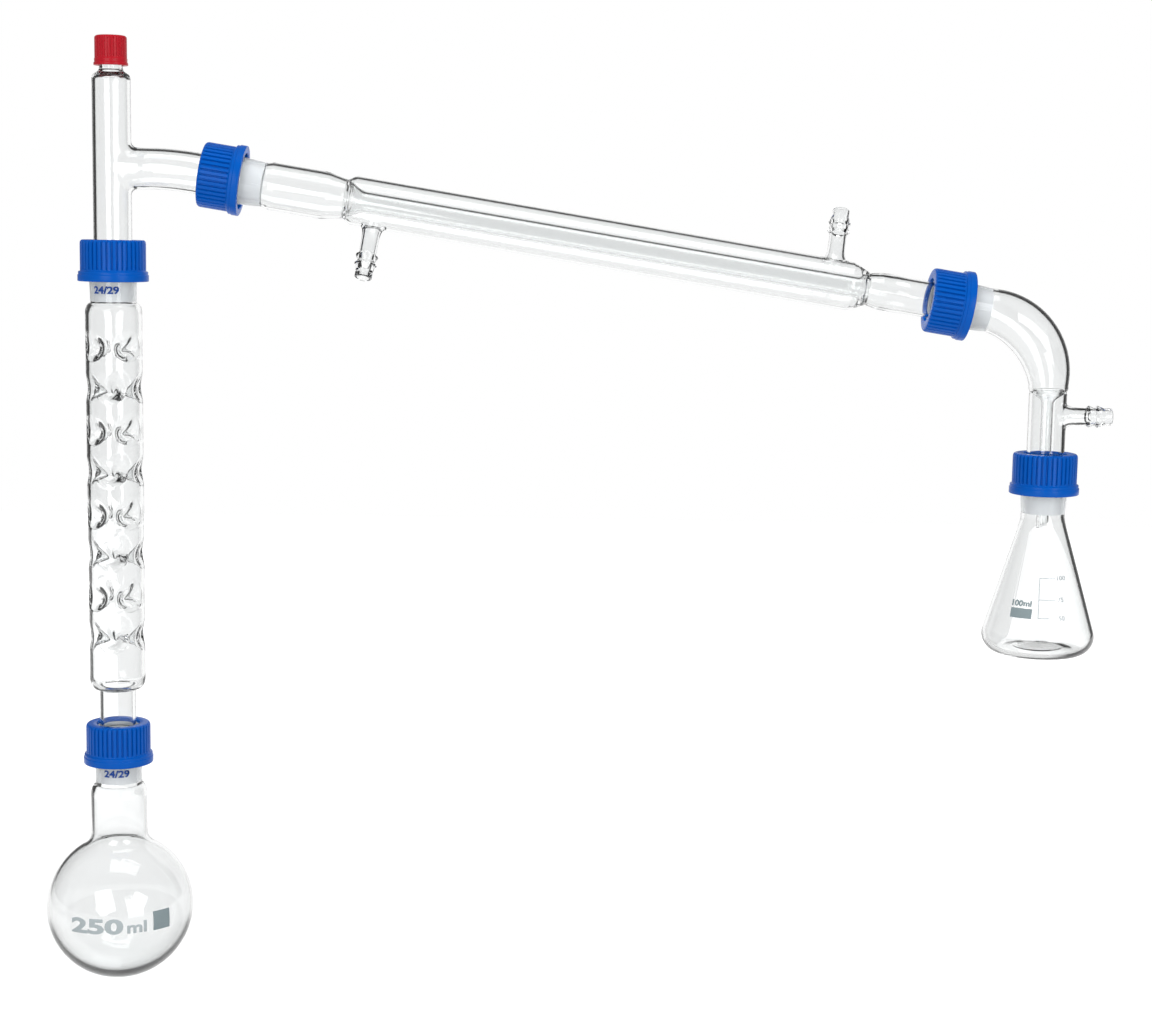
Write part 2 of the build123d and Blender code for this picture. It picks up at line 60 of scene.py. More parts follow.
# Points round a tube and round a flask
RINGS, FINE_RINGS = 64, 96
LOG = logging.getLogger("apparatus")
ACROSS = Vector((0, 1, 0))
UP = Vector((0, 0, 1))

# Corner of a profile: radius, height and rounding
Corner = tuple[float, float, float]
# Step of a port: sideways radius, lift off the tube and slide along it
Step = tuple[float, float, float]
Place = tuple[float, float, float]
Colour = tuple[float, float, float]
Colours = tuple[Colour, Colour]
# Near and far distance, and the values there
Ramp = tuple[float, float, float, float]
# Ring's inner and outer radius, foot, top and rounding
Section = tuple[float, float, float, float, float]
Value = NodeSocket | float


class Finish(Enum):
    """Surfaces of a glass piece, in the order of its material slots."""

    CLEAR = 0
    GROUND = 1


@dataclass(frozen=True)
class Axis:
    """Axis of a turned shape, in millimetres.

    Angles start at x and run towards y, heights run along z.
    """

    origin: Vector
    x: Vector
    z: Vector

    @property
    def y(self) -> Vector:
        """Direction of a quarter turn."""
        return self.z.cross(self.x)

    def at(self, radius: float, angle: float, height: float) -> Vector:
        """Point at a radius, an angle in radians and a height."""
        sideways, onwards = radius * cos(angle), radius * sin(angle)
        return self.origin + self.x * sideways + self.y * onwards + self.z * height

    def moved(self, height: float) -> "Axis":
        """The same axis with its origin moved along itself."""
        return Axis(self.origin + self.z * height, self.x, self.z)

    def flipped(self) -> "Axis":
        """The axis looking the other way from the same origin."""
        return Axis(self.origin, self.x, -self.z)

    def matrix(self) -> Matrix:
        """Matrix that takes a mesh, made in metres round Z, to this axis."""
        turn = Matrix((self.x, self.y, self.z)).transposed().to_4x4()
        return Matrix.Translation(self.origin * MM) @ turn


BARE = Axis(Vector((0, 0, 0)), Vector((1, 0, 0)), UP)


@dataclass(frozen=True)
class Station:
    """One ring of a turned profile, and the finish from it to the next ring.

    The bead is the height of a thread on it, the slant tips the ring over along X.
    """

    radius: float
    height: float
    finish: Finish = Finish.CLEAR
    bead: float = 0.0
    slant: float = 0.0


@dataclass(frozen=True)
class Thread:
    """Rounded bead that climbs round a collar, right-handed."""

    pitch: float = 4.0
    sharpness: float = 3.0

    def rise(self, angle: float, height: float) -> float:
        """Share of the bead's height at an angle and a height, 0 to 1."""
        wave = 0.5 + 0.5 * cos(2 * pi * (height / self.pitch - angle / (2 * pi)))
        return wave**self.sharpness


# Share of a side that a rounding may take, next to a sharp corner and next to a round one
SHARP_ROOM, ROUND_ROOM = 0.95, 0.49


def rounded(corners: list[Corner], steps: int = 6) -> list[tuple[float, float]]:
    """Points of a profile line with rounded corners.

    Args:
        corners: Corners of the line, with rounding 0 where one is sharp.
        steps: Pieces of each rounding.

    Returns:
        (radius, height) points along the line.
    """
    points = []
    for index, (radius, height, rounding) in enumerate(corners):
        here = Vector((radius, height))
        if rounding <= 0 or index in (0, len(corners) - 1):
            points.append((radius, height))
            continue
        ways, room = [], []
        for corner in (corners[index - 1], corners[index + 1]):
            side = Vector(corner[:2]) - here
            ways.append(side.normalized())
            room.append(side.length * (SHARP_ROOM if corner[2] <= 1 else ROUND_ROOM))
        back, ahead = ways
        half = acos(max(-1.0, min(1.0, back.dot(ahead)))) / 2
        reach = min(rounding / tan(half), *room)
        middle = here + (back + ahead).normalized() * (reach * tan(half) / sin(half))
        first, last = here + back * reach - middle, here + ahead * reach - middle
        turn = first.angle_signed(last)
        for step in range(steps + 1):
            spoke = first.copy()
            spoke.rotate(Matrix.Rotation(-turn * step / steps, 2))
            points.append(tuple(middle + spoke))
    return points


def stations(corners: list[Corner], steps: int = 6) -> list[Station]:
    """Stations of a rounded profile line in clear glass."""
    return [Station(radius, height) for radius, height in rounded(corners, steps)]


def lifted(line: list[Station], height: float) -> list[Station]:
    """The same stations, moved along their axis."""
    return [Station(s.radius, s.height + height, s.finish, s.bead, s.slant) for s in line]


def downwards(line: list[Station]) -> list[Station]:
    """Stations for the flipped axis, in its order, with each finish kept on its own stretch."""
    turned = line[::-1]
    finishes = [s.finish for s in turned[1:]] + [Finish.CLEAR]
    return [Station(s.radius, -s.height, finish, s.bead) for s, finish in zip(turned, finishes)]


def shares(count: int) -> list[float]:
    """Even shares from 0 to 1."""
    return [step / count for step in range(count + 1)]


def around(count: int) -> list[float]:
    """Even angles of a full turn."""
    return [2 * pi * index / count for index in range(count)]


def shoulder(narrow: float, wide: float, top: float, drop: float, steps: int = 8) -> list[Station]:
    """Blown shoulder, a quarter oval from the wide tube up to the foot of the narrow one.

    Args:
        narrow: Radius at its top.
        wide: Radius at its foot.
        top: Height of its top.
        drop: How far the foot lies below the top, or above it where negative.
        steps: Pieces of the oval.

    Returns:
        Stations from the foot to the top.
    """
    turns = [pi / 2 * share for share in shares(steps)]
    return [Station(narrow + (wide - narrow) * cos(turn), top - drop * (1 - sin(turn))) for turn in turns]


def threaded(root: float, foot: float, length: float, bead: float, steps: int, ease: float) -> list[Station]:
    """Threaded stretch, whose bead runs out towards both ends.

    Args:
        root: Radius under the thread.
        foot: Height of its foot.
        length: Length along the axis.
        bead: Height of the bead.
        steps: Stations along it.
        ease: How slowly the bead runs out, 1 for a plain sine.

    Returns:
        Stations from the foot upwards.
    """
    return [
        Station(root, foot + share * length, bead=bead * sin(pi * share) ** ease if 0 < share < 1 else 0.0)
        for share in shares(steps)
    ]


@dataclass
class Port:
    """Where an arm, a hose barb or a dent leaves a tube.

    Its patch is a box on the tube, and rings run from the box to the mouth and on along
    the steps.
    """

    angle: float
    cells: int
    steps: list[Step]
    fade: float = 0.0
    tall: float = 1.0
    approach: int = 3

    def bearings(self) -> list[float]:
        """Angles of the port's ring points, one for each point of its box."""
        return [radians(-135 + 90 * index / self.cells) for index in range(4 * self.cells)]

    def box(self) -> list[tuple[float, float]]:
        """Points of the box's edge, each side from -1 to 1."""
        line = [2 * index / self.cells - 1 for index in range(self.cells)]
        right, left = [(1.0, t) for t in line], [(-1.0, -t) for t in line]
        return [(t, -1.0) for t in line] + right + [(-t, 1.0) for t in line] + left

    def spread(self, radius: float, bearing: float) -> float:
        """Radius at a bearing, of a neck that may be oval, with its flare fading at the tube's sides."""
        neck = self.steps[-1][0]
        oval = neck / sqrt(cos(bearing) ** 2 + (sin(bearing) / self.tall) ** 2)
        return oval + (radius - neck) * (1 - self.fade * cos(bearing) ** 2)

    def axis(self, tube: Axis, height: float) -> Axis:
        """Axis of the arm, from the tube's own axis outwards."""
        out = tube.at(1, self.angle, 0) - tube.origin
        return Axis(tube.origin + tube.z * height, tube.z.cross(out), out)

    def saddle(self, tube: Axis, height: float, radius: float, step: Step) -> list[Vector]:
        """Ring of one step, which lies on the tube like a saddle.

        Args:
            tube: Axis of the tube.
            height: Height of the port on it.
            radius: Radius of the tube.
            step: Step of the port.

        Returns:
            Points of the ring, one for each bearing.
        """
        sideways, lift, slide = step
        arm = self.axis(tube, height)
        ring = []
        for bearing in self.bearings():
            spread = self.spread(sideways, bearing)
            depth = sqrt(max(0.0, radius**2 - (spread * cos(bearing)) ** 2))
            ring.append(arm.at(spread, bearing, depth + lift) + tube.z * slide)
        return ring


class Draft:
    """Collects grids of points that share their edges and welds them into one mesh."""

    def __init__(self) -> None:
        """Start with nothing."""
        self.points: list[Vector] = []
        self.faces: list[tuple[int, ...]] = []
        self.finishes: list[int] = []

    def grid(self, rows: list[list[Vector]], finishes: list[Finish], wrap: bool = True) -> None:
        """Add the faces between rows of points.

        Args:
            rows: Rows of equally many points.
            finishes: Finish from each row to the next.
            wrap: Whether each row closes on itself.
        """
        width = len(rows[0])
        start = len(self.points)
        for row in rows:
            self.points.extend(row)
        for line in range(len(rows) - 1):
            low, high = start + line * width, start + (line + 1) * width
            for column in range(width if wrap else width - 1):
                beside = (column + 1) % width
                self.faces.append((low + column, low + beside, high + beside, high + column))
                self.finishes.append(finishes[line].value)

    def ring(
        self, axis: Axis, station: Station, angles: list[float], thread: Thread | None = None
    ) -> list[Vector]:
        """Points of one ring, with its thread's bead and its slant."""
        ring = []
        for angle in angles:
            radius = station.radius
            if thread and station.bead:
                radius += station.bead * thread.rise(angle, station.height)
            point = axis.at(radius, angle, station.height)
            point.z += station.slant * (point.x - axis.origin.x)
            ring.append(point)
        return ring

    def lathe(
        self, axis: Axis, line: list[Station], angles: list[float], thread: Thread | None = None
    ) -> None:
        """Turn a line of stations about an axis."""
        rows = [self.ring(axis, station, angles, thread) for station in line]
        self.grid(rows, [station.finish for station in line])

    def tube(
        self, axis: Axis, walls: tuple[list[Station], list[Station]], angles: list[float],
        ends: tuple[int, ...] = (), thread: Thread | None = None,
    ) -> None:
        """Turn both walls of a tube and close its ends between them.

        Args:
            axis: Axis of the tube.
            walls: Stations of the outer and of the inner wall.
            angles: Angles of the rings.
            ends: Ends to close, 0 for the first stations and -1 for the last.
            thread: Thread on the outer wall.
        """
        outer, inner = walls
        self.lathe(axis, outer, angles, thread)
        self.lathe(axis, inner, angles)
        for end in ends:
            self.lathe(axis, [outer[end], inner[end]], angles)

    def band(self, axis: Axis, radius: float, low: float, high: float, port: Port) -> None:
        """Straight stretch of a tube with a port as high as the stretch."""
        cell = 2 * pi / RINGS
        start = round(port.angle / cell) - port.cells // 2
        columns = [cell * (start + step) for step in range(port.cells, RINGS + 1)]
        heights = [low + (high - low) * row / port.cells for row in range(port.cells + 1)]
        grid = [[axis.at(radius, angle, height) for angle in columns] for height in heights]
        self.grid(grid, [Finish.CLEAR] * port.cells, wrap=False)
        self.mouth(axis, radius, low, high, port)

    def mouth(self, axis: Axis, radius: float, low: float, high: float, port: Port) -> None:
        """Patch of one port, from its box on the tube through its steps."""
        middle, half = (low + high) / 2, (high - low) / 2
        side = port.cells * pi / RINGS
        lip = [port.spread(port.steps[0][0], bearing) for bearing in port.bearings()]
        rows = []
        for share in shares(port.approach):
            row = []
            for (across, up), bearing, spread in zip(port.box(), port.bearings(), lip):
                angle = (1 - share) * across * side + share * asin(spread * cos(bearing) / radius)
                height = (1 - share) * up * half + share * spread * sin(bearing)
                row.append(axis.at(radius, port.angle + angle, middle + height))
            rows.append(row)
        rows += [port.saddle(axis, middle, radius, step) for step in port.steps[1:]]
        self.grid(rows, [Finish.CLEAR] * len(rows))

    def tail(self, tube: Axis, radius: float, height: float, port: Port, line: list[Station]) -> None:
        """Carry an arm on from its port's last step, along stations on the arm's own axis."""
        arm = port.axis(tube, height)
        rows = [port.saddle(tube, height, radius, port.steps[-1])]
        rows += [self.ring(arm, station, port.bearings()) for station in line]
        self.grid(rows, [Finish.CLEAR] + [station.finish for station in line])

    def take(self, mesh: Mesh) -> None:
        """Add a finished mesh, in metres, and delete it."""
        start = len(self.points)
        self.points.extend(vertex.co / MM for vertex in mesh.vertices)
        self.faces.extend(tuple(start + index for index in face.vertices) for face in mesh.polygons)
        self.finishes.extend(Finish.CLEAR.value for _ in mesh.polygons)
        bpy.data.meshes.remove(mesh)

    def bare(self, name: str) -> Mesh:
        """The grids as one mesh in metres, not welded."""
        mesh = bpy.data.meshes.new(name)
        mesh.from_pydata([point * MM for point in self.points], [], self.faces)
        return mesh

    def mesh(self, name: str, materials: list[Material], crease: float = 50.0) -> Mesh:
        """Weld the grids into a closed, smooth mesh in metres.

        Args:
            name: Name of the mesh.
            materials: Materials in the order of Finish.
            crease: Angle in degrees above which an edge stays sharp.

        Returns:
            The mesh, with its faces pointing outwards.
        """
        mesh = self.bare(name)
        mesh.polygons.foreach_set("material_index", self.finishes)
        for material in materials:
            mesh.materials.append(material)
        solid = bmesh.new()
        solid.from_mesh(mesh)
        bmesh.ops.remove_doubles(solid, verts=solid.verts, dist=WELD)
        bmesh.ops.recalc_face_normals(solid, faces=solid.faces)
        for face in solid.faces:
            face.smooth = True
        open_edges = sum(not edge.is_manifold for edge in solid.edges)
        if open_edges:
            LOG.warning("%s has %d open edges", name, open_edges)
        solid.to_mesh(mesh)
        solid.free()
        mesh.set_sharp_from_angle(angle=radians(crease))
        return mesh


def linked(name: str, data: ID | None) -> Object:
    """New object in the scene, made of a mesh, a lamp or other data."""
    thing = bpy.data.objects.new(name, data)
    bpy.context.scene.collection.objects.link(thing)
    return thing


def settled(thing: Object) -> Mesh:
    """Plain mesh of an object as it looks with its modifiers, or of its letters."""
    bpy.context.view_layer.update()
    return bpy.data.meshes.new_from_object(thing.evaluated_get(bpy.context.evaluated_depsgraph_get()))


def piece(name: str, mesh: Mesh, body: str, slot: str, nodes: tuple[str, ...] = ()) -> Object:
    """Put a finished mesh into the scene as a piece of the object.

    Args:
        name: Name of the piece.
        mesh: Its mesh, in place and in metres.
        body: CAD body that it rides on.
        slot: Material slot of the record; not used.
        nodes: CAD nodes that it stands for.

    Returns:
        The new object.
    """
    thing = linked(name, mesh)
    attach(thing, body)
    if nodes:
        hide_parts(*nodes)
    LOG.info("%s: %d faces, rides on %s", name, len(mesh.polygons), body)
    return thing


# Node trees


class Nodes:
    """Short forms for making and joining the nodes of a tree."""

    def __init__(self, tree: NodeTree) -> None:
        """Work on a tree."""
        self.tree = tree

    def new(self, kind: str, inputs: dict[str | int, object] | None = None, **settings: object) -> Node:
        """Make a node.

        Args:
            kind: Type of the node.
            inputs: What its inputs get, by name or number: a socket is linked, a plain value set.
            settings: Properties of the node, set before its inputs.

        Returns:
            The new node.
        """
        node = self.tree.nodes.new(kind)
        for name, value in settings.items():
            setattr(node, name, value)
        for label, value in (inputs or {}).items():
            if isinstance(value, NodeSocket):
                self.tree.links.new(value, node.inputs[label])
            else:
                node.inputs[label].default_value = value
        return node

    def maths(self, operation: str, *terms: Value) -> NodeSocket:
        """Result of one sum."""
        return self.new("ShaderNodeMath", dict(enumerate(terms)), operation=operation).outputs[0]

    def choose(self, mask: NodeSocket, yes: Value, no: Value) -> NodeSocket:
        """One of two values, by a mask of 0 or 1."""
        return self.new("ShaderNodeMix", {0: mask, 2: no, 3: yes}, data_type="FLOAT").outputs[0]

    def reach(self, centre: Place, ramp: Ramp) -> NodeSocket:
        """Value that runs along a ramp with the distance from a point."""
        place = self.new("ShaderNodeNewGeometry").outputs["Position"]
        away = self.new("ShaderNodeVectorMath", {0: place, 1: centre}, operation="DISTANCE").outputs["Value"]
        ends = dict(zip(("From Min", "From Max", "To Min", "To Max"), ramp))
        return self.new("ShaderNodeMapRange", {"Value": away, **ends}).outputs["Result"]

    def rays(self) -> tuple[NodeSocket, NodeSocket, NodeSocket]:
        """Masks of rays that were mirrored, that came through glass, and both."""
        path = self.new("ShaderNodeLightPath").outputs
        mirrored = self.maths("GREATER_THAN", path["Glossy Depth"], 0.5)
        inside = self.maths("GREATER_THAN", path["Transmission Depth"], 0.5)
        return mirrored, inside, self.maths("MULTIPLY", mirrored, inside)

    def finish(self, shader: Node, kind: str = "Material") -> None:
        """Put a shader on the tree's output."""
        self.new(f"ShaderNodeOutput{kind}", {"Surface": shader.outputs[0]})


def new_material(name: str) -> tuple[Material, Nodes]:
    """Empty material and its nodes."""
    material = bpy.data.materials.new(name)
    material.use_nodes = True
    material.node_tree.nodes.clear()
    return material, Nodes(material.node_tree)


def variation_group() -> ShaderNodeTree:
    """Shared node group: fine grain over slow drift, as masks and a height.

    Returns:
        The group. Inputs are Grain, Drift, Level and Spread, outputs are Drifting (0 to 1),
        Roughness and Height.
    """
    group = bpy.data.node_groups.new("surface_variation", "ShaderNodeTree")
    sides = {"INPUT": ("Grain", "Drift", "Level", "Spread"), "OUTPUT": ("Drifting", "Roughness", "Height")}
    for side, labels in sides.items():
        for label in labels:
            group.interface.new_socket(label, in_out=side, socket_type="NodeSocketFloat")
    nodes = Nodes(group)
    entry = nodes.new("NodeGroupInput").outputs
    place = nodes.new("ShaderNodeTexCoord").outputs["Object"]
    grain, drift = (
        nodes.new("ShaderNodeTexNoise", {"Vector": place, "Scale": scale, "Detail": 3.0}).outputs["Fac"]
        for scale in (entry["Grain"], entry["Drift"])
    )
    swing = nodes.maths("SUBTRACT", drift, 0.5)
    rough = nodes.maths("MULTIPLY_ADD", swing, entry["Spread"], entry["Level"])
    nodes.new("NodeGroupOutput", {"Drifting": drift, "Roughness": rough, "Height": grain})
    return group


def copies_tree() -> GeometryNodeTree:
    """Node tree that repeats one sector of a turned shape round its axis and along it.

    Returns:
        The tree. Its inputs are Sector, Around, Rows, Pitch, Stagger and Material.
    """
    tree = bpy.data.node_groups.new("copies_round_axis", "GeometryNodeTree")
    tree.is_modifier = True
    inputs = {
        "Sector": "Geometry", "Around": "Int", "Rows": "Int", "Pitch": "Float", "Stagger": "Float",
        "Material": "Material",
    }
    for label, kind in inputs.items():
        tree.interface.new_socket(label, in_out="INPUT", socket_type=f"NodeSocket{kind}")
    tree.interface.new_socket("Geometry", in_out="OUTPUT", socket_type="NodeSocketGeometry")
    nodes = Nodes(tree)
    maths, entry = nodes.maths, nodes.new("NodeGroupInput").outputs
    count = entry["Around"]
    index = nodes.new("GeometryNodeInputIndex").outputs[0]
    row = maths("FLOOR", maths("DIVIDE", index, count))
    shift = maths("MULTIPLY", maths("MODULO", row, 2.0), entry["Stagger"])
    share = maths("DIVIDE", maths("ADD", maths("MODULO", index, count), shift), count)
    turn = nodes.new("ShaderNodeCombineXYZ", {"Z": maths("MULTIPLY", share, 2 * pi)})
    place = nodes.new("ShaderNodeCombineXYZ", {"Z": maths("MULTIPLY", row, entry["Pitch"])})
    total = maths("MULTIPLY", count, entry["Rows"])
    spots = nodes.new("GeometryNodePoints", {"Count": total, "Position": place.outputs[0]})
    copies = nodes.new("GeometryNodeInstanceOnPoints", {
        "Points": spots.outputs[0], "Instance": entry["Sector"], "Rotation": turn.outputs[0],
    })
    real = nodes.new("GeometryNodeRealizeInstances", {0: copies.outputs[0]})
    paint = nodes.new("GeometryNodeSetMaterial", {"Geometry": real.outputs[0], "Material": entry["Material"]})
    nodes.new("NodeGroupOutput", {0: paint.outputs[0]})
    return tree


def repeated(sector: Mesh, tree: GeometryNodeTree, material: Material, values: dict[str, float]) -> Mesh:
    """Run the copies tree on a sector and return the plain result.

    Args:
        sector: Mesh of one sector, round Z, in metres.
        tree: The copies tree.
        material: Material of the copies.
        values: Values of the tree's number inputs.

    Returns:
        The repeated mesh, not yet welded.
    """
    carrier = linked("sector", sector)
    modifier = carrier.modifiers.new("copies", "NODES")
    modifier.node_group = tree
    sockets = {item.name: item.identifier for item in tree.interface.items_tree if item.in_out == "INPUT"}
    for label, value in values.items():
        modifier[sockets[label]] = value
    modifier[sockets["Material"]] = material
    done = settled(carrier)
    carrier.modifiers.remove(modifier)
    bpy.data.objects.remove(carrier)
    bpy.data.meshes.remove(sector)
    return done


# Finishes


@dataclass(frozen=True)
class SurfaceFinish:
    """What all finishes share: a colour and a roughness that drift, and a fine grain."""

    name: str
    colours: Colours
    roughness: float
    spread: float = 0.12
    grain: float = 1800.0
    bump: tuple[float, float] = (0.12, 0.0002)
    drift: float = 90.0

    def shaded(self, group: ShaderNodeTree) -> tuple[Material, Nodes, Node]:
        """Make the material as far as its Principled shader.

        Args:
            group: The shared variation group.

        Returns:
            The material, its nodes and its shader, which isn't on the output yet.
        """
        material, nodes = new_material(self.name)
        varied = nodes.new("ShaderNodeGroup", {
            "Grain": self.grain, "Drift": self.drift, "Level": self.roughness, "Spread": self.spread,
        }, node_tree=group).outputs
        first, second = ((*colour, 1) for colour in self.colours)
        mix = nodes.new("ShaderNodeMix", {0: varied["Drifting"], 6: first, 7: second}, data_type="RGBA")
        shader = nodes.new("ShaderNodeBsdfPrincipled", {
            "Metallic": 0.0, "Base Color": mix.outputs[2], "Roughness": varied["Roughness"],
        })
        strength, distance = self.bump
        if strength > 0:
            relief = {"Strength": strength, "Distance": distance, "Height": varied["Height"]}
            bump = nodes.new("ShaderNodeBump", relief)
            nodes.tree.links.new(bump.outputs["Normal"], shader.inputs["Normal"])
        return material, nodes, shader


@dataclass(frozen=True)
class GlassFinish(SurfaceFinish):
    """Borosilicate glass, fire polished or ground."""

    drift: float = 60.0
    clearness: float = 1.0
    index: float = 1.473
    shadow: Colour = (0.93, 0.94, 0.94)

    def material(self, group: ShaderNodeTree) -> Material:
        """Glass that lets lamp light through to what is behind it."""
        material, nodes, shader = self.shaded(group)
        shader.inputs["Transmission Weight"].default_value = self.clearness
        shader.inputs["IOR"].default_value = self.index
        clear = nodes.new("ShaderNodeBsdfTransparent", {"Color": (*self.shadow, 1)})
        mask = nodes.new("ShaderNodeLightPath").outputs["Is Shadow Ray"]
        nodes.finish(nodes.new("ShaderNodeMixShader", {0: mask, 1: shader.outputs[0], 2: clear.outputs[0]}))
        return material


@dataclass(frozen=True)
class SolidFinish(SurfaceFinish):
    """Moulded plastic, rubber or enamel."""

    see_through: float = 0.0
    shine: float = 0.5

    def material(self, group: ShaderNodeTree) -> Material:
        """Opaque or slightly see-through finish."""
        material, nodes, shader = self.shaded(group)
        shader.inputs["Specular IOR Level"].default_value = self.shine
        shader.inputs["Transmission Weight"].default_value = self.see_through
        nodes.finish(shader)
        return material


class Palette:
    """All finishes of the apparatus, made once."""

    def __init__(self) -> None:
        """Make the shared group and every material."""
        group = variation_group()

        def glass(name: str, colours: Colours, roughness: float, **sizes: object) -> Material:
            """One glass."""
            return GlassFinish(name, colours, roughness, **sizes).material(group)

        def solid(name: str, colours: Colours, roughness: float, **sizes: object) -> Material:
            """One plastic, rubber or enamel."""
            return SolidFinish(name, colours, roughness, **sizes).material(group)

        smooth = (0, 0)
        self.clear = glass(
            "clear_glass", ((0.98, 0.985, 0.985), (0.965, 0.975, 0.975)), 0.0, spread=0.01, grain=35.0,
            bump=(0.01, 0.0004),
        )
        self.ground = glass(
            "ground_glass", ((0.66, 0.675, 0.695), (0.58, 0.595, 0.61)), 0.5, spread=0.1, grain=2600.0,
            bump=(0.3, 0.0002), clearness=0.5,
        )
        self.blue = solid("blue_polypropylene", ((0.0, 0.082, 0.41), (0.0, 0.072, 0.36)), 0.24, shine=0.1)
        self.red = solid("red_plastic", ((0.41, 0.009, 0.019), (0.34, 0.006, 0.014)), 0.28, shine=0.16)
        # PTFE is white; its colour is dimmed to mid grey as painted shade in the hollows under the caps'
        # holes
        self.ptfe = solid("ptfe_greyed_as_shade", ((0.50, 0.51, 0.53), (0.45, 0.46, 0.48)), 0.42)
        self.silicone = solid(
            "silicone_rubber", ((0.72, 0.72, 0.70), (0.64, 0.64, 0.62)), 0.5, see_through=0.25
        )
        self.blue_ink = solid(
            "blue_enamel", ((0.006, 0.045, 0.22), (0.01, 0.055, 0.27)), 0.5, bump=smooth, shine=0.2
        )
        self.grey_ink, self.pale_ink, self.faint_ink = (
            solid(name, colours, 0.55, bump=smooth)
            for name, colours in (
                ("grey_enamel", ((0.17, 0.22, 0.235), (0.21, 0.26, 0.275))),
                ("pale_grey_enamel", ((0.33, 0.375, 0.39), (0.38, 0.425, 0.44))),
                ("faint_enamel", ((0.34, 0.38, 0.40), (0.40, 0.44, 0.46))),
            )
        )

    def glass(self) -> list[Material]:
        """Slots of a glass piece, in the order of Finish."""
        return [self.clear, self.ground]


# Where things are


@dataclass(frozen=True)
class Layout:
    """Axes of the ground joints, each from the middle of a socket's mouth outwards."""

    clamp_height: float = 94.0
    flask_height: float = 146.7
    column_pitch: float = 280.4
    arm_height: float = 46.4
    arm_bend: float = 34.0
    arm_reach: float = 23.0
    slope: float = 8.8
    condenser_pitch: float = 420.4
    corner_reach: float = 66.2
    drop: float = 82.5
    head_height: float = 113.8
    roll: float = 22.0

    @property
    def run(self) -> Vector:
        """Direction of the condenser, downhill."""
        return Vector((cos(radians(self.slope)), 0, -sin(radians(self.slope))))

    @property
    def run_up(self) -> Vector:
        """Square to the condenser, upwards."""
        return Vector((sin(radians(self.slope)), 0, cos(radians(self.slope))))

    @property
    def flask(self) -> Axis:
        """Flask's mouth."""
        return Axis(Vector((0, 0, self.flask_height - self.clamp_height)), ACROSS, UP)

    @property
    def column(self) -> Axis:
        """Column's upper mouth."""
        return self.flask.moved(self.column_pitch)

    @property
    def condenser(self) -> Axis:
        """Condenser's mouth, looking back uphill."""
        bend = self.column.origin + Vector((self.arm_bend, 0, self.arm_height))
        return Axis(bend + self.run * self.arm_reach, ACROSS, -self.run)

    @property
    def adapter(self) -> Axis:
        """Adapter's mouth."""
        return self.condenser.moved(-self.condenser_pitch)

    @property
    def corner(self) -> Vector:
        """Where the condenser's axis meets the receiver's."""
        return self.adapter.origin + self.run * self.corner_reach

    @property
    def receiver(self) -> Axis:
        """Receiving flask's mouth."""
        return Axis(self.corner - Vector((0, 0, self.drop)), ACROSS, UP)

    @property
    def head_top(self) -> Axis:
        """Top of the still head."""
        return self.column.moved(self.head_height)


@dataclass(frozen=True)
class GroundJoint:
    """Ground joint of 24 by 29 mm, tapering one in ten, with a threaded collar."""

    mouth: float = 12.0
    length: float = 29.0
    taper: float = 0.05
    play: float = 0.05
    wall: float = 1.8
    collar: float = 15.2
    collar_length: float = 15.5
    bead: float = 1.0
    rim: float = 13.9
    rim_bore: float = 13.0
    shoulder: float = 12.0
    thread_step: float = 0.5
    thread_ease: float = 0.35
    stem_at: float = 4.0
    thread: Thread = Thread()

    @property
    def end(self) -> float:
        """Bore at the small end."""
        return self.mouth - self.taper * self.length

    def cone_outside(self, top: float, radius: float) -> list[Station]:
        """Outer wall from the cone's tip to a height on its stem."""
        tip, mouth, bulge = self.end - self.play, self.mouth - self.play, self.shoulder
        return [
            Station(tip - 0.4, -self.length, Finish.GROUND),
            Station(tip, -self.length + 0.5, Finish.GROUND),
            Station(mouth - 0.03, -0.6),
        ] + stations([
            (mouth, 0, 0), (bulge, 1.0, 0.5), (bulge - 0.1, 1.7, 0.5), (bulge - 1.1, 2.3, 0.6),
            (radius, self.stem_at, 1.2), (radius, top, 0),
        ], steps=3)

    def cone_inside(self, top: float, bore: float) -> list[Station]:
        """Bore from the cone's tip to a height in its stem."""
        tip, mouth, stem_at = self.end - self.wall, self.mouth - self.wall, self.stem_at
        return stations([(tip, -self.length, 0), (mouth, 0, 3), (bore, stem_at, 3), (bore, top, 0)], steps=4)

    def cone(self, top: float, radius: float) -> tuple[list[Station], list[Station]]:
        """Both walls from the cone's tip to a height on a stem of a radius."""
        return self.cone_outside(top, radius), self.cone_inside(top, radius - self.wall)

    def socket(self, radius: float) -> tuple[list[Station], list[Station]]:
        """Both walls from the ground zone's end to the rim, the outer one with the thread."""
        root, foot, mouth = self.collar - self.bead, -self.collar_length, self.mouth
        steps = int((self.collar_length - 2.6) / self.thread_step)
        outer = stations([
            (radius, -self.length, 0), (self.rim - 0.5, foot - 2, 2), (root, foot, 1), (root, foot + 0.6, 0),
        ], steps=3)
        outer += threaded(root, foot + 0.6, self.collar_length - 2.2, self.bead, steps, self.thread_ease)
        outer += stations(
            [(root, -1.4, 0), (self.rim, -0.5, 0.5), (self.rim - 0.3, 0, 0.3), (self.rim_bore, 0, 0)], steps=3
        )
        inner = [Station(mouth - 0.03, -0.6), Station(mouth + 0.1, -0.2), Station(mouth + 0.5, 0)]
        return outer, [Station(self.end, -self.length, Finish.GROUND)] + inner


# Glass pieces


@dataclass
class Glassware:
    """What every piece of glass shares."""

    layout: Layout
    joint: GroundJoint
    palette: Palette
    wall: float = 1.8

    def dress(self, draft: Draft, name: str, body: str, *nodes: str) -> Object:
        """Weld a draft, give it clear and ground glass and put it into the scene."""
        return piece(name, draft.mesh(name, self.palette.glass()), body, "borosilicate_glass", nodes)


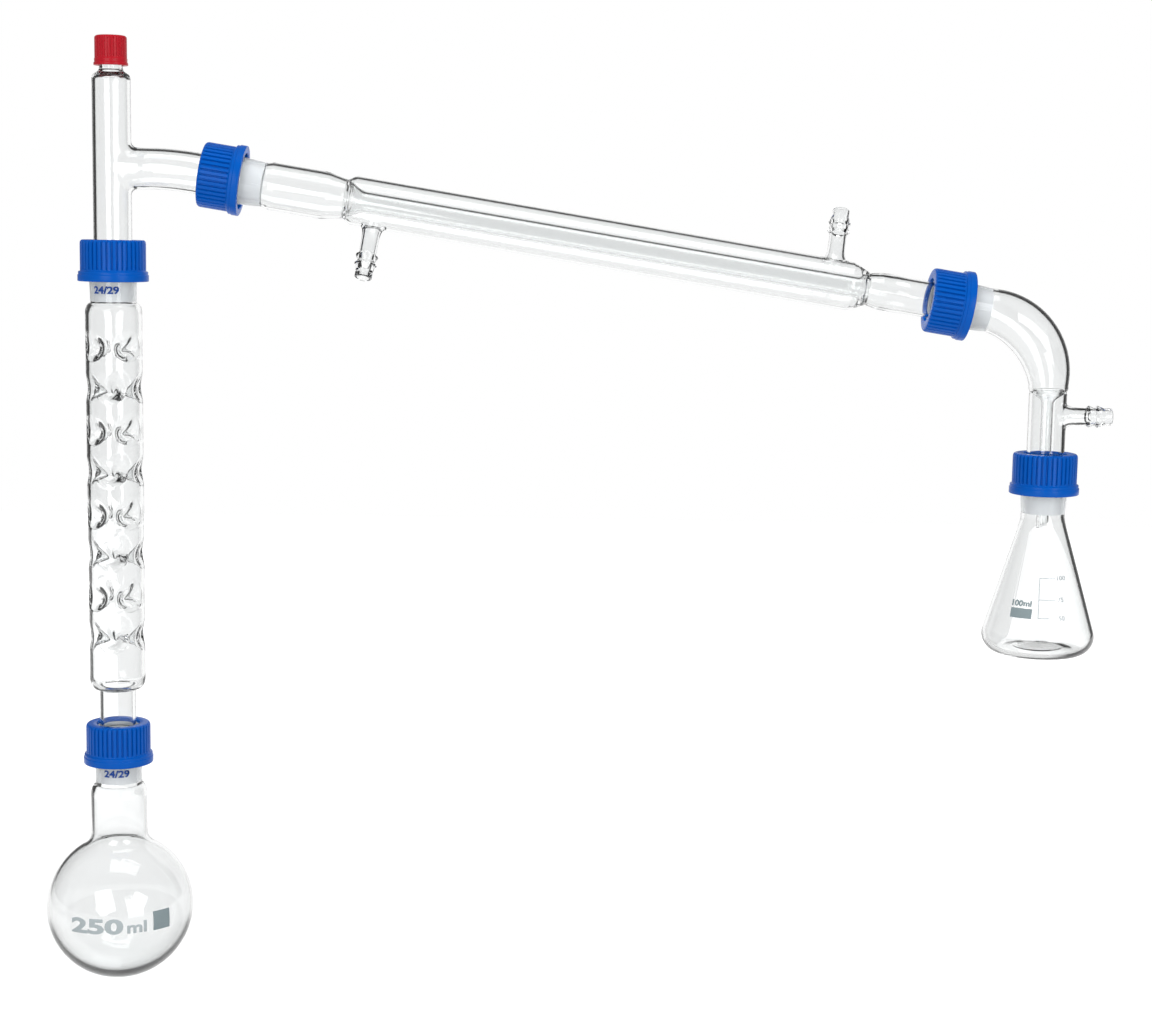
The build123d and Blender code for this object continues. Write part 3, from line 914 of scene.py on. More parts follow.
@dataclass
class RoundBottomFlask(Glassware):
    """Round bottom flask of 250 ml, whose wall is thicker inside its foot by the sag."""

    bulb: float = 42.5
    neck: float = 16.3
    blend: float = 9.0
    neck_shoulder: float = -30.6
    shoulder_drop: float = 6.2
    socket: float = 13.5
    sag: float = 1.3
    bulb_steps: int = 44
    blend_steps: int = 8

    @property
    def centre(self) -> float:
        """Height of the bulb's middle."""
        return self.bulb - self.layout.flask_height

    def bulb_line(self, wall: float) -> list[Station]:
        """Ball and its blend into the neck, less a wall."""
        reach, side = self.bulb + self.blend, self.neck + self.blend
        rise = sqrt(reach**2 - side**2)
        meet = 180 - degrees(asin(side / reach))
        ball, sag = self.bulb - wall, self.sag if wall else 0.0
        line = []
        for share in shares(self.bulb_steps):
            angle = radians(meet * share)
            lift = sag * max(0.0, cos(angle)) ** 2
            line.append(Station(ball * sin(angle), self.centre - ball * cos(angle) + lift))
        radius = self.blend + wall
        for share in shares(self.blend_steps)[1:]:
            tilt = atan2(rise, side) * (1 - share)
            line.append(Station(side - radius * cos(tilt), self.centre + rise - radius * sin(tilt)))
        return line

    def build(self) -> Object:
        """Make the flask."""
        top, drop, wall = self.neck_shoulder, self.shoulder_drop, self.wall
        outside, inside = self.joint.socket(self.socket)
        outer = self.bulb_line(0) + shoulder(self.socket, self.neck, top, drop) + outside
        inner = self.bulb_line(wall) + shoulder(self.joint.end, self.neck - wall, top - 0.4, drop + 1)
        draft = Draft()
        draft.tube(self.layout.flask, (outer, inner + inside), around(FINE_RINGS), (-1,), self.joint.thread)
        return self.dress(draft, "flask_250", "flask", "round_bottom_flask", "flask_socket")


@dataclass
class VigreuxColumn(Glassware):
    """Column with eight rows of four glass thorns pressed in from outside."""

    radius: float = 16.0
    stem: float = 10.4
    body_low: float = 26.2
    body_high: float = 247.8
    corner: float = 3.6
    corner_rise: float = 6.5
    shoulder_drop: float = 5.4
    socket: float = 13.0
    rows: int = 8
    thorns: int = 4
    spacing: float = 24.0
    first: float = 226.6
    tilt: float = 18.0
    thinning: float = 0.35
    dent: tuple[tuple[float, float], ...] = (
        (9.2, 0.0), (8.3, 0.15), (7.4, 0.5), (6.5, 1.05), (5.6, 1.75), (4.75, 2.65), (3.95, 3.75), (3.2, 5.0),
        (2.55, 6.3), (1.95, 7.5), (1.4, 8.5), (0.75, 9.2), (0.0, 9.5),
    )

    def thorn(self, offset: float) -> list[Step]:
        """Steps of a dent's port, moved inwards by an offset that thins along the thorn."""
        steps = []
        last = len(self.dent) - 1
        for index, (sideways, depth) in enumerate(self.dent):
            thin = offset * (1 - self.thinning * depth / self.dent[-1][1])
            if index == last:
                sideways, depth = 0.0, depth + thin
            else:
                ahead = Vector(self.dent[index + 1]) - Vector(self.dent[index - 1])
                along = ahead.normalized() if index else Vector((-1, 0))
                sideways, depth = sideways + thin * along.y, depth - thin * along.x
            slide = -tan(radians(self.tilt)) * max(0.0, depth) if index else 0.0
            steps.append((sideways, offset - depth, slide))
        return steps

    def tile(self) -> Mesh:
        """One dent of the wall, outer and inner face, round Z at height 0."""
        draft = Draft()
        half = self.spacing / 2
        for offset in (0.0, self.wall):
            port = Port(radians(45), RINGS // self.thorns, self.thorn(offset))
            draft.mouth(BARE, self.radius - offset, -half, half, port)
        return draft.bare("dent")

    def foot(
        self, cone: list[Station], wall: float, rises: tuple[float, float, float], rounding: float
    ) -> list[Station]:
        """One wall from the cone up to the lowest row of dents.

        Args:
            cone: Stations of the cone and its stem.
            wall: How far the wall lies inside the outer one.
            rises: Heights of the corner's foot, its middle and its top over the body's foot.
            rounding: Rounding of the corner.

        Returns:
            Stations upwards.
        """
        stem, corner, radius = self.stem - wall, self.radius - self.corner - wall, self.radius - wall
        foot, middle, top = (self.body_low + rise for rise in rises)
        line = [(stem, self.body_low - 1, 0), (stem, foot, rounding), (corner, middle, 0)]
        low = self.first - self.spacing * (self.rows - 0.5)
        round_corner = shoulder(corner, radius, top, -self.corner_rise)[::-1]
        return cone + stations(line, steps=4) + round_corner + [Station(radius, low)]

    def build(self, copies: GeometryNodeTree) -> Object:
        """Make the column."""
        column = Axis(self.layout.flask.origin, Vector((1, 0, 0)), UP)
        angles = around(RINGS)
        radius, inside, high = self.radius, self.radius - self.wall, self.first + self.spacing / 2
        draft = Draft()
        cone_outer, cone_inner = self.joint.cone(self.body_low - 1.5, self.stem)
        foot_outer = self.foot(cone_outer, 0.0, (0.0, 0.25, 0.3), 0.9)
        foot_inner = self.foot(cone_inner, self.wall, (1.6, 1.9, 2.0), 1.4)
        draft.tube(column, (foot_outer, foot_inner), angles, (0,))
        outer, inner = (lifted(line, self.layout.column_pitch) for line in self.joint.socket(self.socket))
        top, drop = self.body_high, self.shoulder_drop
        outer = [Station(radius, high)] + shoulder(self.socket, radius, top + 2.8, drop) + outer
        inner = [Station(inside, high)] + shoulder(self.joint.end, inside, top + 2.2, drop + 1) + inner
        draft.tube(column, (outer, inner), angles, (-1,), self.joint.thread)
        values = {"Around": self.thorns, "Rows": self.rows, "Pitch": -self.spacing * MM, "Stagger": 0.5}
        dents = repeated(self.tile(), copies, self.palette.clear, values)
        dents.transform(column.moved(self.first).matrix())
        draft.take(dents)
        return self.dress(draft, "vigreux_tube", "column", "vigreux_column")


@dataclass
class StillHead(Glassware):
    """Head tube with a threaded top and a side arm that bends down to the condenser."""

    tube: float = 10.8
    arm: float = 11.7
    arm_root: float = 10.4
    arm_flare: float = 3.5
    inner_flare: float = 4.7
    arm_fade: float = 0.97
    arm_band: float = 17.0
    arm_round: float = 20.0
    arm_stem: float = 9.0
    bend_tangent: float = 12.0
    tube_top: float = 98.6
    neck: float = 6.3
    neck_foot: float = 99.9
    neck_bore: float = 4.9
    thread_radius: float = 7.0
    thread_length: float = 8.5
    thread_steps: int = 18
    thread_ease: float = 0.4
    bead: float = 0.8
    thread: Thread = Thread(pitch=2.5)

    def flare(self, neck: float, size: float) -> list[Step]:
        """Steps of the arm's blown root, a quarter round."""
        turns = [radians(90 * share) for share in shares(7)]
        return [(neck + size * (1 - sin(turn)), size * (1 - cos(turn)), 0.0) for turn in turns]

    def arm_line(self, draft: Draft, radius: float, tube: float, port: Port, tip: list[Station]) -> None:
        """One wall of the side arm from its oval root round the bend to the cone's tip.

        Args:
            draft: Mesh being made.
            radius: Radius of the arm's wall.
            tube: Radius of the head tube's wall that it leaves.
            port: Port that it carries on.
            tip: Stations of the cone, from the stem to the tip.
        """
        column, height = self.layout.column, self.layout.arm_height
        arm, bearings, last = port.axis(column, height), port.bearings(), port.steps[-1]
        rows = [port.saddle(column, height, tube, last)]
        foot = self.tube + self.arm_flare + 1.5
        for share in shares(4):
            swell = share * share * (3 - 2 * share)
            away = foot + (self.arm_round - foot) * share
            spreads = [port.spread(last[0], bearing) * (1 - swell) + radius * swell for bearing in bearings]
            rows.append([arm.at(spread, bearing, away) for spread, bearing in zip(spreads, bearings)])
        straight, slope = self.layout.arm_bend - self.bend_tangent, radians(self.layout.slope)
        rows.append(draft.ring(arm, Station(radius, straight), bearings))
        size = self.bend_tangent / tan(slope / 2)
        for share in shares(6)[1:]:
            turn = slope * share
            middle = arm.origin + arm.z * (straight + size * sin(turn)) - UP * (size * (1 - cos(turn)))
            bend = Axis(middle, ACROSS, arm.z * cos(turn) - UP * sin(turn))
            rows.append(draft.ring(bend, Station(radius, 0), bearings))
        finishes = [Finish.CLEAR] * len(rows) + [station.finish for station in tip]
        down = self.layout.condenser.flipped()
        draft.grid(rows + [draft.ring(down, station, bearings) for station in tip], finishes)

    def top(self, high: float) -> tuple[list[Station], list[Station]]:
        """Both walls from a height on the tube to the threaded neck's rim."""
        bore, rim, neck_bore = self.tube - self.wall, self.layout.head_height, self.neck_bore
        foot, root = rim - self.thread_length, self.thread_radius - self.bead
        outer = stations([
            (self.tube, high, 0), (self.tube, self.tube_top - 0.6, 3.0),
            (self.neck + 0.6, self.neck_foot + 0.5, 2.6), (self.neck - 0.1, foot - 1, 0),
        ])
        length, steps, ease = self.thread_length - 0.6, self.thread_steps, self.thread_ease
        outer += threaded(root, foot - 0.6, length, self.bead, steps, ease)
        outer += stations([(root, rim - 0.9, 0), (root + 0.1, rim, 0.5), (neck_bore + 0.3, rim, 0)], steps=4)
        return outer, stations([
            (bore, high, 0), (bore, self.tube_top - 1.6, 2.4), (neck_bore, self.neck_foot - 1.4, 0.8),
            (neck_bore, rim - 0.3, 0), (neck_bore + 0.3, rim, 0),
        ])

    def build(self) -> Object:
        """Make the head."""
        column, height = self.layout.column, self.layout.arm_height
        angles = around(RINGS)
        low, high = height - self.arm_band, height + self.arm_band
        draft = Draft()
        draft.tube(column, self.joint.cone(low, self.tube), angles, (0,))
        draft.tube(column, self.top(high), angles, thread=self.thread)
        tips = [downwards(line) for line in self.joint.cone(self.arm_stem, self.arm)]
        for wall, flare, tip in zip((0.0, self.wall), (self.arm_flare, self.inner_flare), tips):
            tube, radius, root = self.tube - wall, self.arm - wall, self.arm_root - wall
            port = Port(radians(270), RINGS // 2, self.flare(root, flare), self.arm_fade, radius / root)
            draft.band(column, tube, low, high, port)
            self.arm_line(draft, radius, tube, port, tip)
        draft.lathe(self.layout.condenser.flipped(), [tip[-1] for tip in tips], port.bearings())
        return self.dress(draft, "still_head_glass", "still_head", "still_head")


@dataclass(frozen=True)
class HoseBarb:
    """Hose connection blown on a tube: flared root, ridges and a plain tip.

    Each ridge is (foot, peak) and the flare's rings are (radius, lift off the tube). The
    ridges, the plain tip and the length are measured back from the tip.
    """

    body: float = 4.9
    bore: float = 3.6
    ridge: float = 6.4
    tip: float = 4.9
    length: float = 18.0
    plain: float = 4.6
    ridges: tuple[tuple[float, float], ...] = ((14.9, 13.4), (9.7, 8.3))
    flare: tuple[tuple[float, float], ...] = (
        (7.9, 0.0), (7.3, 0.15), (6.8, 0.5), (6.3, 1.1), (5.85, 2.0), (5.5, 3.1), (5.2, 4.6), (5.0, 6.8),
    )

    def walls(self, reach: float) -> tuple[list[Station], list[Station]]:
        """Both walls from the end of the flare to the tip, at its distance from the tube's axis."""
        rim, start = self.bore + 0.5, reach - self.length
        outer = [(self.body, start, 0)]
        for foot, peak in self.ridges:
            outer += [(self.body, reach - foot, 0.4), (self.ridge, reach - peak, 0.4)]
        outer += [(self.tip, reach - self.plain, 0.5), (self.tip, reach, 0.7), (rim, reach, 0)]
        inner = [(self.bore, start, 0), (self.bore, reach - 0.5, 0), (rim, reach, 0)]
        return stations(outer, steps=4), stations(inner)

    def build(
        self, draft: Draft, tube: Axis, radii: tuple[float, float], height: float, half: float, angle: float,
        reach: float,
    ) -> None:
        """Make the barb and the band of the tube that it stands on.

        Args:
            draft: Mesh being made.
            tube: Axis of the tube.
            radii: Outer and inner radius of the tube.
            height: Height of the barb on the tube.
            half: Half the height of the band.
            angle: Angle of the barb round the tube.
            reach: Tip's distance from the tube's axis.
        """
        for radius, less, line in zip(radii, (0.0, self.body - self.bore), self.walls(reach)):
            port = Port(angle, RINGS // 4, [(wide - less, lift, 0.0) for wide, lift in self.flare])
            draft.tail(tube, radius, height, port, line)
            draft.band(tube, radius, height - half, height + half, port)


@dataclass
class Condenser(Glassware):
    """Straight water condenser: wide inlet, inner tube, jacket and two hose barbs.

    Places along it are measured from the inlet's mouth, which looks uphill.
    """

    wide: float = 13.6
    wide_end: float = 65.2
    waist_at: float = 76.0
    inlet_waist: float = 11.2
    outlet_waist: float = 9.2
    inner: float = 6.0
    bore: float = 4.8
    jacket: float = 14.0
    jacket_wall: float = 1.6
    jacket_end: float = 378.8
    stem_at: float = 401.0
    stem: float = 10.4
    seal_wall: float = 1.7
    socket: float = 12.6
    lower_barb: float = 94.3
    upper_barb: float = 357.9
    reach: float = 45.3
    half: float = 8.8
    barb: HoseBarb = HoseBarb()

    def outside(self, cone: list[Station], socket: list[Station]) -> tuple[list[Station], list[Station]]:
        """Outer wall below the lower barb's band and above the upper one's."""
        stem, jacket, wide = self.stem, self.jacket, self.wide
        outlet, inlet = self.outlet_waist, self.inlet_waist
        foot, seal, waist, shelf = -self.stem_at, -self.jacket_end, -self.waist_at, -self.joint.length
        low, high = -self.upper_barb - self.half, -self.lower_barb + self.half
        bottom = stations([
            (stem, foot, 0), (stem + 0.5, foot + 8, 30), (stem, foot + 16, 12),
            (outlet + 0.2, seal - 1.2, 1.2), (outlet - 0.2, seal, 0.5), (outlet + 0.5, seal + 1.0, 1.0),
            (jacket, low - 2.0, 9), (jacket, low, 0),
        ])
        top = stations([
            (jacket, high, 0), (jacket, waist - 4.4, 4), (inlet + 0.1, waist - 0.9, 0.7),
            (inlet - 0.2, waist, 0.5), (inlet + 0.2, waist + 1.2, 1.4), (wide, 1 - self.wide_end, 22),
            (wide, shelf - 4.6, 2.2), (self.socket - 0.1, shelf - 1.2, 0.8), (self.socket, shelf, 0),
        ])
        return cone + bottom, top + socket

    def channel(self) -> list[Station]:
        """Way of the vapour, from the outlet's stem through the inner tube to the inlet's socket."""
        stem, wide, bore = self.stem - self.wall, self.wide - self.wall, self.bore
        outlet, inlet = self.outlet_waist - self.seal_wall, self.inlet_waist - self.seal_wall
        foot, seal, waist, shelf = -self.stem_at, -self.jacket_end, -self.waist_at, -self.joint.length
        return stations([
            (stem, foot + 0.5, 0), (stem, foot + 15, 10), (outlet, seal + 0.4, 2), (bore, seal + 6.5, 5),
            (bore, waist - 9.5, 6), (inlet, waist - 0.6, 2.5), (wide, -self.wide_end, 18),
            (wide, shelf - 4.6, 2), (self.joint.end, shelf - 0.4, 0),
        ])

    def water_space(self, cavity: float) -> list[list[Station]]:
        """Walls of the space in a jacket of an inner radius, without the barbs' bands."""
        inner, inlet = self.inner, self.inlet_waist
        seal, waist = self.jacket_wall - self.jacket_end, -self.waist_at - self.jacket_wall
        low, high = -self.upper_barb, -self.lower_barb
        lower_seal = stations([
            (inner, seal + 9, 0), (inner, seal + 5.6, 5), (inner + 1.25, seal + 0.4, 0.35),
            (cavity - 1.5, seal + 4.9, 5), (cavity, seal + 8.8, 4), (cavity, low - self.half, 0),
        ])
        upper_seal = stations([
            (cavity, high + self.half, 0), (cavity, waist - 3.4, 3.4), (inlet - 0.7, waist - 0.4, 0.4),
            (inner, waist - 8.4, 6), (inner, waist - 11, 0),
        ])
        jacket = [Station(cavity, low + self.half), Station(cavity, high - self.half)]
        return [lower_seal, jacket, upper_seal, [Station(inner, seal + 9), Station(inner, waist - 11)]]

    def build(self) -> Object:
        """Make the condenser's glass, fused into one piece as the real one is."""
        roll, end = radians(self.layout.roll), self.layout.condenser_pitch
        up = self.layout.run_up * cos(roll) + ACROSS * sin(roll)
        axis = Axis(self.layout.condenser.origin, up, -self.layout.run)
        cone_outer, cone_inner = (
            lifted(line, -end) for line in self.joint.cone(end - self.stem_at - 1, self.stem)
        )
        socket_outer, socket_inner = self.joint.socket(self.socket)
        bottom, top = self.outside(cone_outer, socket_outer)
        channel = cone_inner + self.channel() + socket_inner
        jacket, cavity = self.jacket, self.jacket - self.jacket_wall
        middle = [Station(jacket, self.half - self.upper_barb), Station(jacket, -self.half - self.lower_barb)]
        draft, angles = Draft(), around(RINGS)
        draft.lathe(axis, top, angles, self.joint.thread)
        for line in (bottom, middle, channel, *self.water_space(cavity)):
            draft.lathe(axis, line, angles)
        for outer, inner in ((bottom[0], channel[0]), (top[-1], channel[-1])):
            draft.lathe(axis, [outer, inner], angles)
        for at, angle in ((self.upper_barb, 0.0), (self.lower_barb, pi)):
            self.barb.build(draft, axis, (jacket, cavity), -at, self.half, angle, self.reach)
        return self.dress(draft, "condenser_glass", "condenser", "condenser_inner_tube", "condenser_jacket")


@dataclass
class ReceiverAdapter(Glassware):
    """Bent adapter with a vacuum barb, and the drip tube sealed into it."""

    socket: float = 12.5
    middle: float = 14.3
    end: float = 11.3
    bend: float = 43.0
    bend_steps: int = 24
    tube: float = 10.8
    seal_drop: float = 40.9
    barb_drop: float = 54.9
    reach: float = 37.3
    half: float = 9.0
    seal_steps: tuple[tuple[float, float], ...] = (
        (0.0, -1.4), (-0.25, -0.6), (-0.35, 0.0), (-0.15, 0.5), (0.35, 1.3), (0.5, 2.2),
    )
    drip: float = 3.4
    drip_wall: float = 1.0
    ring: float = 2.6
    funnel: float = 5.0
    drip_low: float = -38.4
    bevel: float = 5.4
    drip_play: float = 0.05
    drip_rings: int = 48
    barb: HoseBarb = HoseBarb()

    @property
    def seal(self) -> float:
        """Height of the drip tube's seal over the receiver's mouth."""
        return self.layout.drop - self.seal_drop

    def swell(self, share: float) -> float:
        """Tube's outer radius at a share of the bend."""
        rise = self.socket * (1 - share) * (1 - 2 * share)
        return rise + self.middle * 4 * share * (1 - share) + self.end * share * (2 * share - 1)

    def bend_rows(self, draft: Draft, wall: float, angles: list[float]) -> list[list[Vector]]:
        """Rings round the bend, from the vertical tube up and back to the socket."""
        run, run_up, sweep = self.layout.run, self.layout.run_up, radians(90 - self.layout.slope)
        tangent = self.bend * tan(sweep / 2)
        centre = self.layout.corner - run * tangent - run_up * self.bend
        rows = []
        for share in shares(self.bend_steps)[::-1]:
            turn = sweep * share
            spoke = run_up * cos(turn) + run * sin(turn)
            heading = run * cos(turn) - run_up * sin(turn)
            ring = Axis(centre + spoke * self.bend, ACROSS, -heading)
            rows.append(draft.ring(ring, Station(self.swell(share) - wall, 0), angles))
        return rows

    def build(self) -> Object:
        """Make the adapter's outer glass and its drip tube."""
        receiver, adapter, angles = self.layout.receiver, self.layout.adapter, around(RINGS)
        barb_at = self.layout.drop - self.barb_drop
        low, high = barb_at - self.half, barb_at + self.half
        radii = (self.tube, self.tube - self.wall)
        draft = Draft()
        draft.tube(receiver, self.joint.cone(low, self.tube), angles, (0,))
        self.barb.build(draft, receiver, radii, barb_at, self.half, radians(270), self.reach)
        sockets = self.joint.socket(self.socket)
        for wall, radius, socket in zip((0.0, self.wall), radii, sockets):
            line = [Station(radius, high)]
            line += [Station(radius + step, self.seal + rise) for step, rise in self.seal_steps]
            rows = [draft.ring(receiver, station, angles) for station in line]
            rows += self.bend_rows(draft, wall, angles)
            finishes = [Finish.CLEAR] * len(rows) + [station.finish for station in socket]
            rows += [draft.ring(adapter, station, angles, self.joint.thread) for station in socket]
            draft.grid(rows, finishes)
        draft.lathe(adapter, [socket[-1] for socket in sockets], angles)
        self.build_drip_tube()
        return self.dress(draft, "adapter_glass", "adapter", "receiver_adapter")

    def build_drip_tube(self) -> Object:
        """Make the drip tube: a funnel at the seal, a narrow tube and a tip cut at a slant."""
        slant = self.bevel / (2 * self.drip)
        tip = self.drip_low + self.bevel / 2
        wide = self.tube - self.wall - self.drip_play
        neck, low, seal = tip + self.bevel + 1, self.seal - self.funnel, self.seal
        drip, bore, hole, top = self.drip, self.drip - self.drip_wall, wide - self.ring, seal + 1.5
        outer = [Station(drip - 0.3, tip, slant=slant), Station(drip, tip + 0.3, slant=slant)]
        outer += stations([(drip, neck, 0), (drip, low, 4), (wide, seal - 1.2, 1.2), (wide, top, 0)])
        inner = [Station(bore, tip, slant=slant)]
        inner += stations([(bore, neck, 0), (bore, low, 4), (hole, seal - 0.9, 1.2), (hole + 0.5, top, 0)])
        draft = Draft()
        draft.tube(self.layout.receiver, (outer, inner), around(self.drip_rings), (0, -1))
        return self.dress(draft, "drip_tube_glass", "adapter", "drip_tube")


@dataclass
class ConicalFlask(Glassware):
    """Conical receiving flask of 100 ml."""

    height: float = 111.5
    foot: float = 36.1
    heel: float = 10.8
    neck_length: float = 33.0
    blend: float = 14.0
    punt: float = 1.6
    socket: float = 12.6

    @property
    def slope(self) -> float:
        """How much the cone widens for each step down."""
        return (self.foot - self.socket) / (self.height - self.neck_length)

    def build(self) -> Object:
        """Make the flask."""
        base, neck, foot, punt = -self.height, self.joint.end, self.foot, -self.height + self.punt * 0.8
        floor = base + self.wall * 1.2
        inside = foot - self.wall * (self.slope + sqrt(1 + self.slope**2))
        socket_outer, socket_inner = self.joint.socket(self.socket)
        outer = stations([
            (0, base + self.punt, 0), (foot * 0.4, punt, 8), (foot * 0.56, base, 1), (foot, base, self.heel),
            (self.socket, -self.neck_length, self.blend), (self.socket, -self.joint.length, 0),
        ], steps=10)
        inner = stations([
            (0, floor + self.punt, 0), (foot * 0.4, punt + self.wall * 1.1, 8), (foot * 0.56, floor, 1),
            (inside, floor, self.heel - self.wall), (neck, -self.joint.length - 2.5, 9),
            (neck, -self.joint.length - 0.2, 0),
        ], steps=10)
        draft = Draft()
        walls = outer + socket_outer, inner + socket_inner
        draft.tube(self.layout.receiver, walls, around(FINE_RINGS), (-1,), self.joint.thread)
        return self.dress(draft, "flask_100", "receiver", "conical_flask")


# Caps and what they squeeze


def section(inner: float, outer: float, low: float, high: float, curve: float) -> list[Corner]:
    """Section of a ring with rounded corners, starting in the middle of its foot."""
    return [
        ((inner + outer) / 2, low, 0), (outer, low, curve), (outer, high, curve), (inner, high, curve),
        (inner, low, curve),
    ]


@dataclass(frozen=True)
class ScrewCap:
    """Ribbed screw cap with a hole, made as one sector and repeated."""

    above: float = 6.0
    height: float = 23.5
    radius: float = 18.5
    foot: float = 20.0
    foot_height: float = 5.6
    plate: float = 2.0
    hole: float = 12.4
    bore: float = 15.9
    ribs: int = 40
    depth: float = 1.15
    edge: float = 1.3
    lip: float = 0.5
    crease: float = 38.0
    groove: tuple[tuple[float, float], ...] = (
        (0.0, 1.0), (0.09, 0.93), (0.16, 0.45), (0.22, 0.05), (0.5, 0.0), (0.78, 0.05), (0.84, 0.45),
        (0.91, 0.93), (1.0, 1.0),
    )

    def outline(self) -> list[tuple[float, float, float]]:
        """Closed profile of (radius, height, share of the grooves' depth)."""
        top, low, lip, plate = self.above, self.above - self.height, self.lip, self.above - self.plate
        shelf, side, foot, hole, bore = low + self.foot_height, self.radius, self.foot, self.hole, self.bore
        ring = rounded([
            (foot - lip, low, 0), (foot, low, 0.5), (foot, shelf - 1.9, 0.3), (foot - 0.45, shelf - 1.6, 0.2),
            (foot - 0.35, shelf, 0.5), (side + 0.25, shelf + 0.2, 0.2), (side, shelf + 0.7, 0),
        ], 3)
        return [
            (bore, low + lip, 0.0), (bore + lip, low, 0.0), *((wide, high, 0.0) for wide, high in ring),
            (side, shelf + 0.9, 0.15), (side, shelf + 1.3, 0.85), (side, shelf + 1.8, 1.0),
            (side, top - self.edge - 0.9, 1.0), (side - 0.1, top - self.edge, 0.9),
            (side - 0.45, top - 0.55, 0.5), (side - 0.9, top - 0.15, 0.1), (side - 1.5, top, 0.0),
            (hole + 0.5, top, 0.0), (hole + 0.12, top - 0.15, 0.0), (hole, top - 0.5, 0.0),
            (hole, plate, 0.0), (bore, plate, 0.0),
        ]

    def sector(self) -> Mesh:
        """One rib and its groove, round Z."""
        columns = []
        for share, groove in self.groove:
            angle = 2 * pi * share / self.ribs
            columns.append([BARE.at(r - self.depth * groove * cut, angle, h) for r, h, cut in self.outline()])
        draft = Draft()
        draft.grid(columns, [Finish.CLEAR] * len(columns))
        return draft.bare("cap_sector")

    def build(
        self, name: str, axis: Axis, copies: GeometryNodeTree, material: Material, slot: str, node: str
    ) -> Object:
        """Make the cap on a joint's axis, riding on its own body.

        Args:
            name: Name of the piece.
            axis: Axis from the middle of the mouth that the cap closes.
            copies: The copies tree.
            material: Plastic of the cap.
            slot: Material slot of the record.
            node: CAD node and body of the cap.

        Returns:
            The new object.
        """
        ribbed = repeated(self.sector(), copies, material, {"Around": self.ribs, "Rows": 1})
        ribbed.transform(axis.matrix())
        draft = Draft()
        draft.take(ribbed)
        return piece(name, draft.mesh(name, [material], self.crease), node, slot, (node,))


@dataclass
class JointFittings:
    """Cap, PTFE washer and silicone ring of each ground joint."""

    layout: Layout
    palette: Palette
    copies: GeometryNodeTree
    ring: Section = (12.1, 13.9, 0.1, 2.1, 0.9)
    washer: Section = (12.1, 14.6, 2.3, 3.9, 0.3)
    cap: ScrewCap = ScrewCap()

    def turned(self, name: str, axis: Axis, corners: list[Corner], body: str, slot: str, node: str) -> None:
        """Turn a closed ring and put it into the scene.

        Args:
            name: Name of the piece.
            axis: Axis of the ring.
            corners: Corners of its section, which is closed from the last to the first.
            body: CAD body that it rides on.
            slot: Material slot of the record, which is also the palette's word for its finish.
            node: CAD node that it stands for.
        """
        draft = Draft()
        draft.lathe(axis, stations(corners + [corners[0]], steps=4), around(RINGS))
        piece(name, draft.mesh(name, [getattr(self.palette, slot)]), body, slot, (node,))

    def build(self) -> None:
        """Make the fittings of the five joints, each ring on the body of the cone that it grips."""
        bodies = {
            "flask": "column", "column": "still_head", "condenser": "still_head", "adapter": "condenser",
            "receiver": "receiver_ring",
        }
        blue, slot = self.palette.blue, "blue_cap_plastic"
        for name, body in bodies.items():
            axis = getattr(self.layout, name)
            self.cap.build(f"{name}_ribbed_cap", axis, self.copies, blue, slot, f"{name}_cap")
            self.turned(f"{name}_o_ring", axis, section(*self.ring), body, "silicone", f"{name}_sealing_ring")
            washer, lift = section(*self.washer), f"{name}_cap_slide"
            self.turned(f"{name}_slip_ring", axis, washer, lift, "ptfe", f"{name}_washer")


@dataclass
class ThermometerPort:
    """Red screw cap, silicone seal and PTFE disc on top of the still head."""

    fittings: JointFittings
    seal: float = 6.2
    seal_low: float = 0.1
    seal_height: float = 3.4
    plug: float = 4.7
    plug_depth: float = 3.0
    hole: float = 3.0
    disc: Section = (3.2, 6.2, 3.5, 4.5, 0.2)
    cap: ScrewCap = ScrewCap(
        above=6.2, height=16.6, radius=9.0, foot=9.6, foot_height=3.4, plate=1.6, hole=4.0, bore=7.4,
        ribs=34, depth=0.4, edge=0.9, lip=0.3,
    )

    def build(self) -> None:
        """Make the cap and what it squeezes."""
        fittings, axis = self.fittings, self.fittings.layout.head_top
        seal, hole, plug, depth, height = self.seal, self.hole, self.plug, -self.plug_depth, self.seal_height
        red, slot = fittings.palette.red, "red_cap_plastic"
        self.cap.build("thermometer_ribbed_cap", axis, fittings.copies, red, slot, "thermometer_cap")
        fittings.turned("thermometer_bush", axis, [
            (hole + 0.6, depth, 0), (plug, depth, 0.4), (plug, self.seal_low, 0), (seal, self.seal_low, 0.3),
            (seal, height, 0.3), (hole, height, 0.3), (hole, depth, 0.3),
        ], "still_head", "silicone", "thermometer_seal")
        disc, lift = section(*self.disc), "thermometer_cap_slide"
        fittings.turned("thermometer_slip_disc", axis, disc, lift, "ptfe", "thermometer_disc")


# Prints


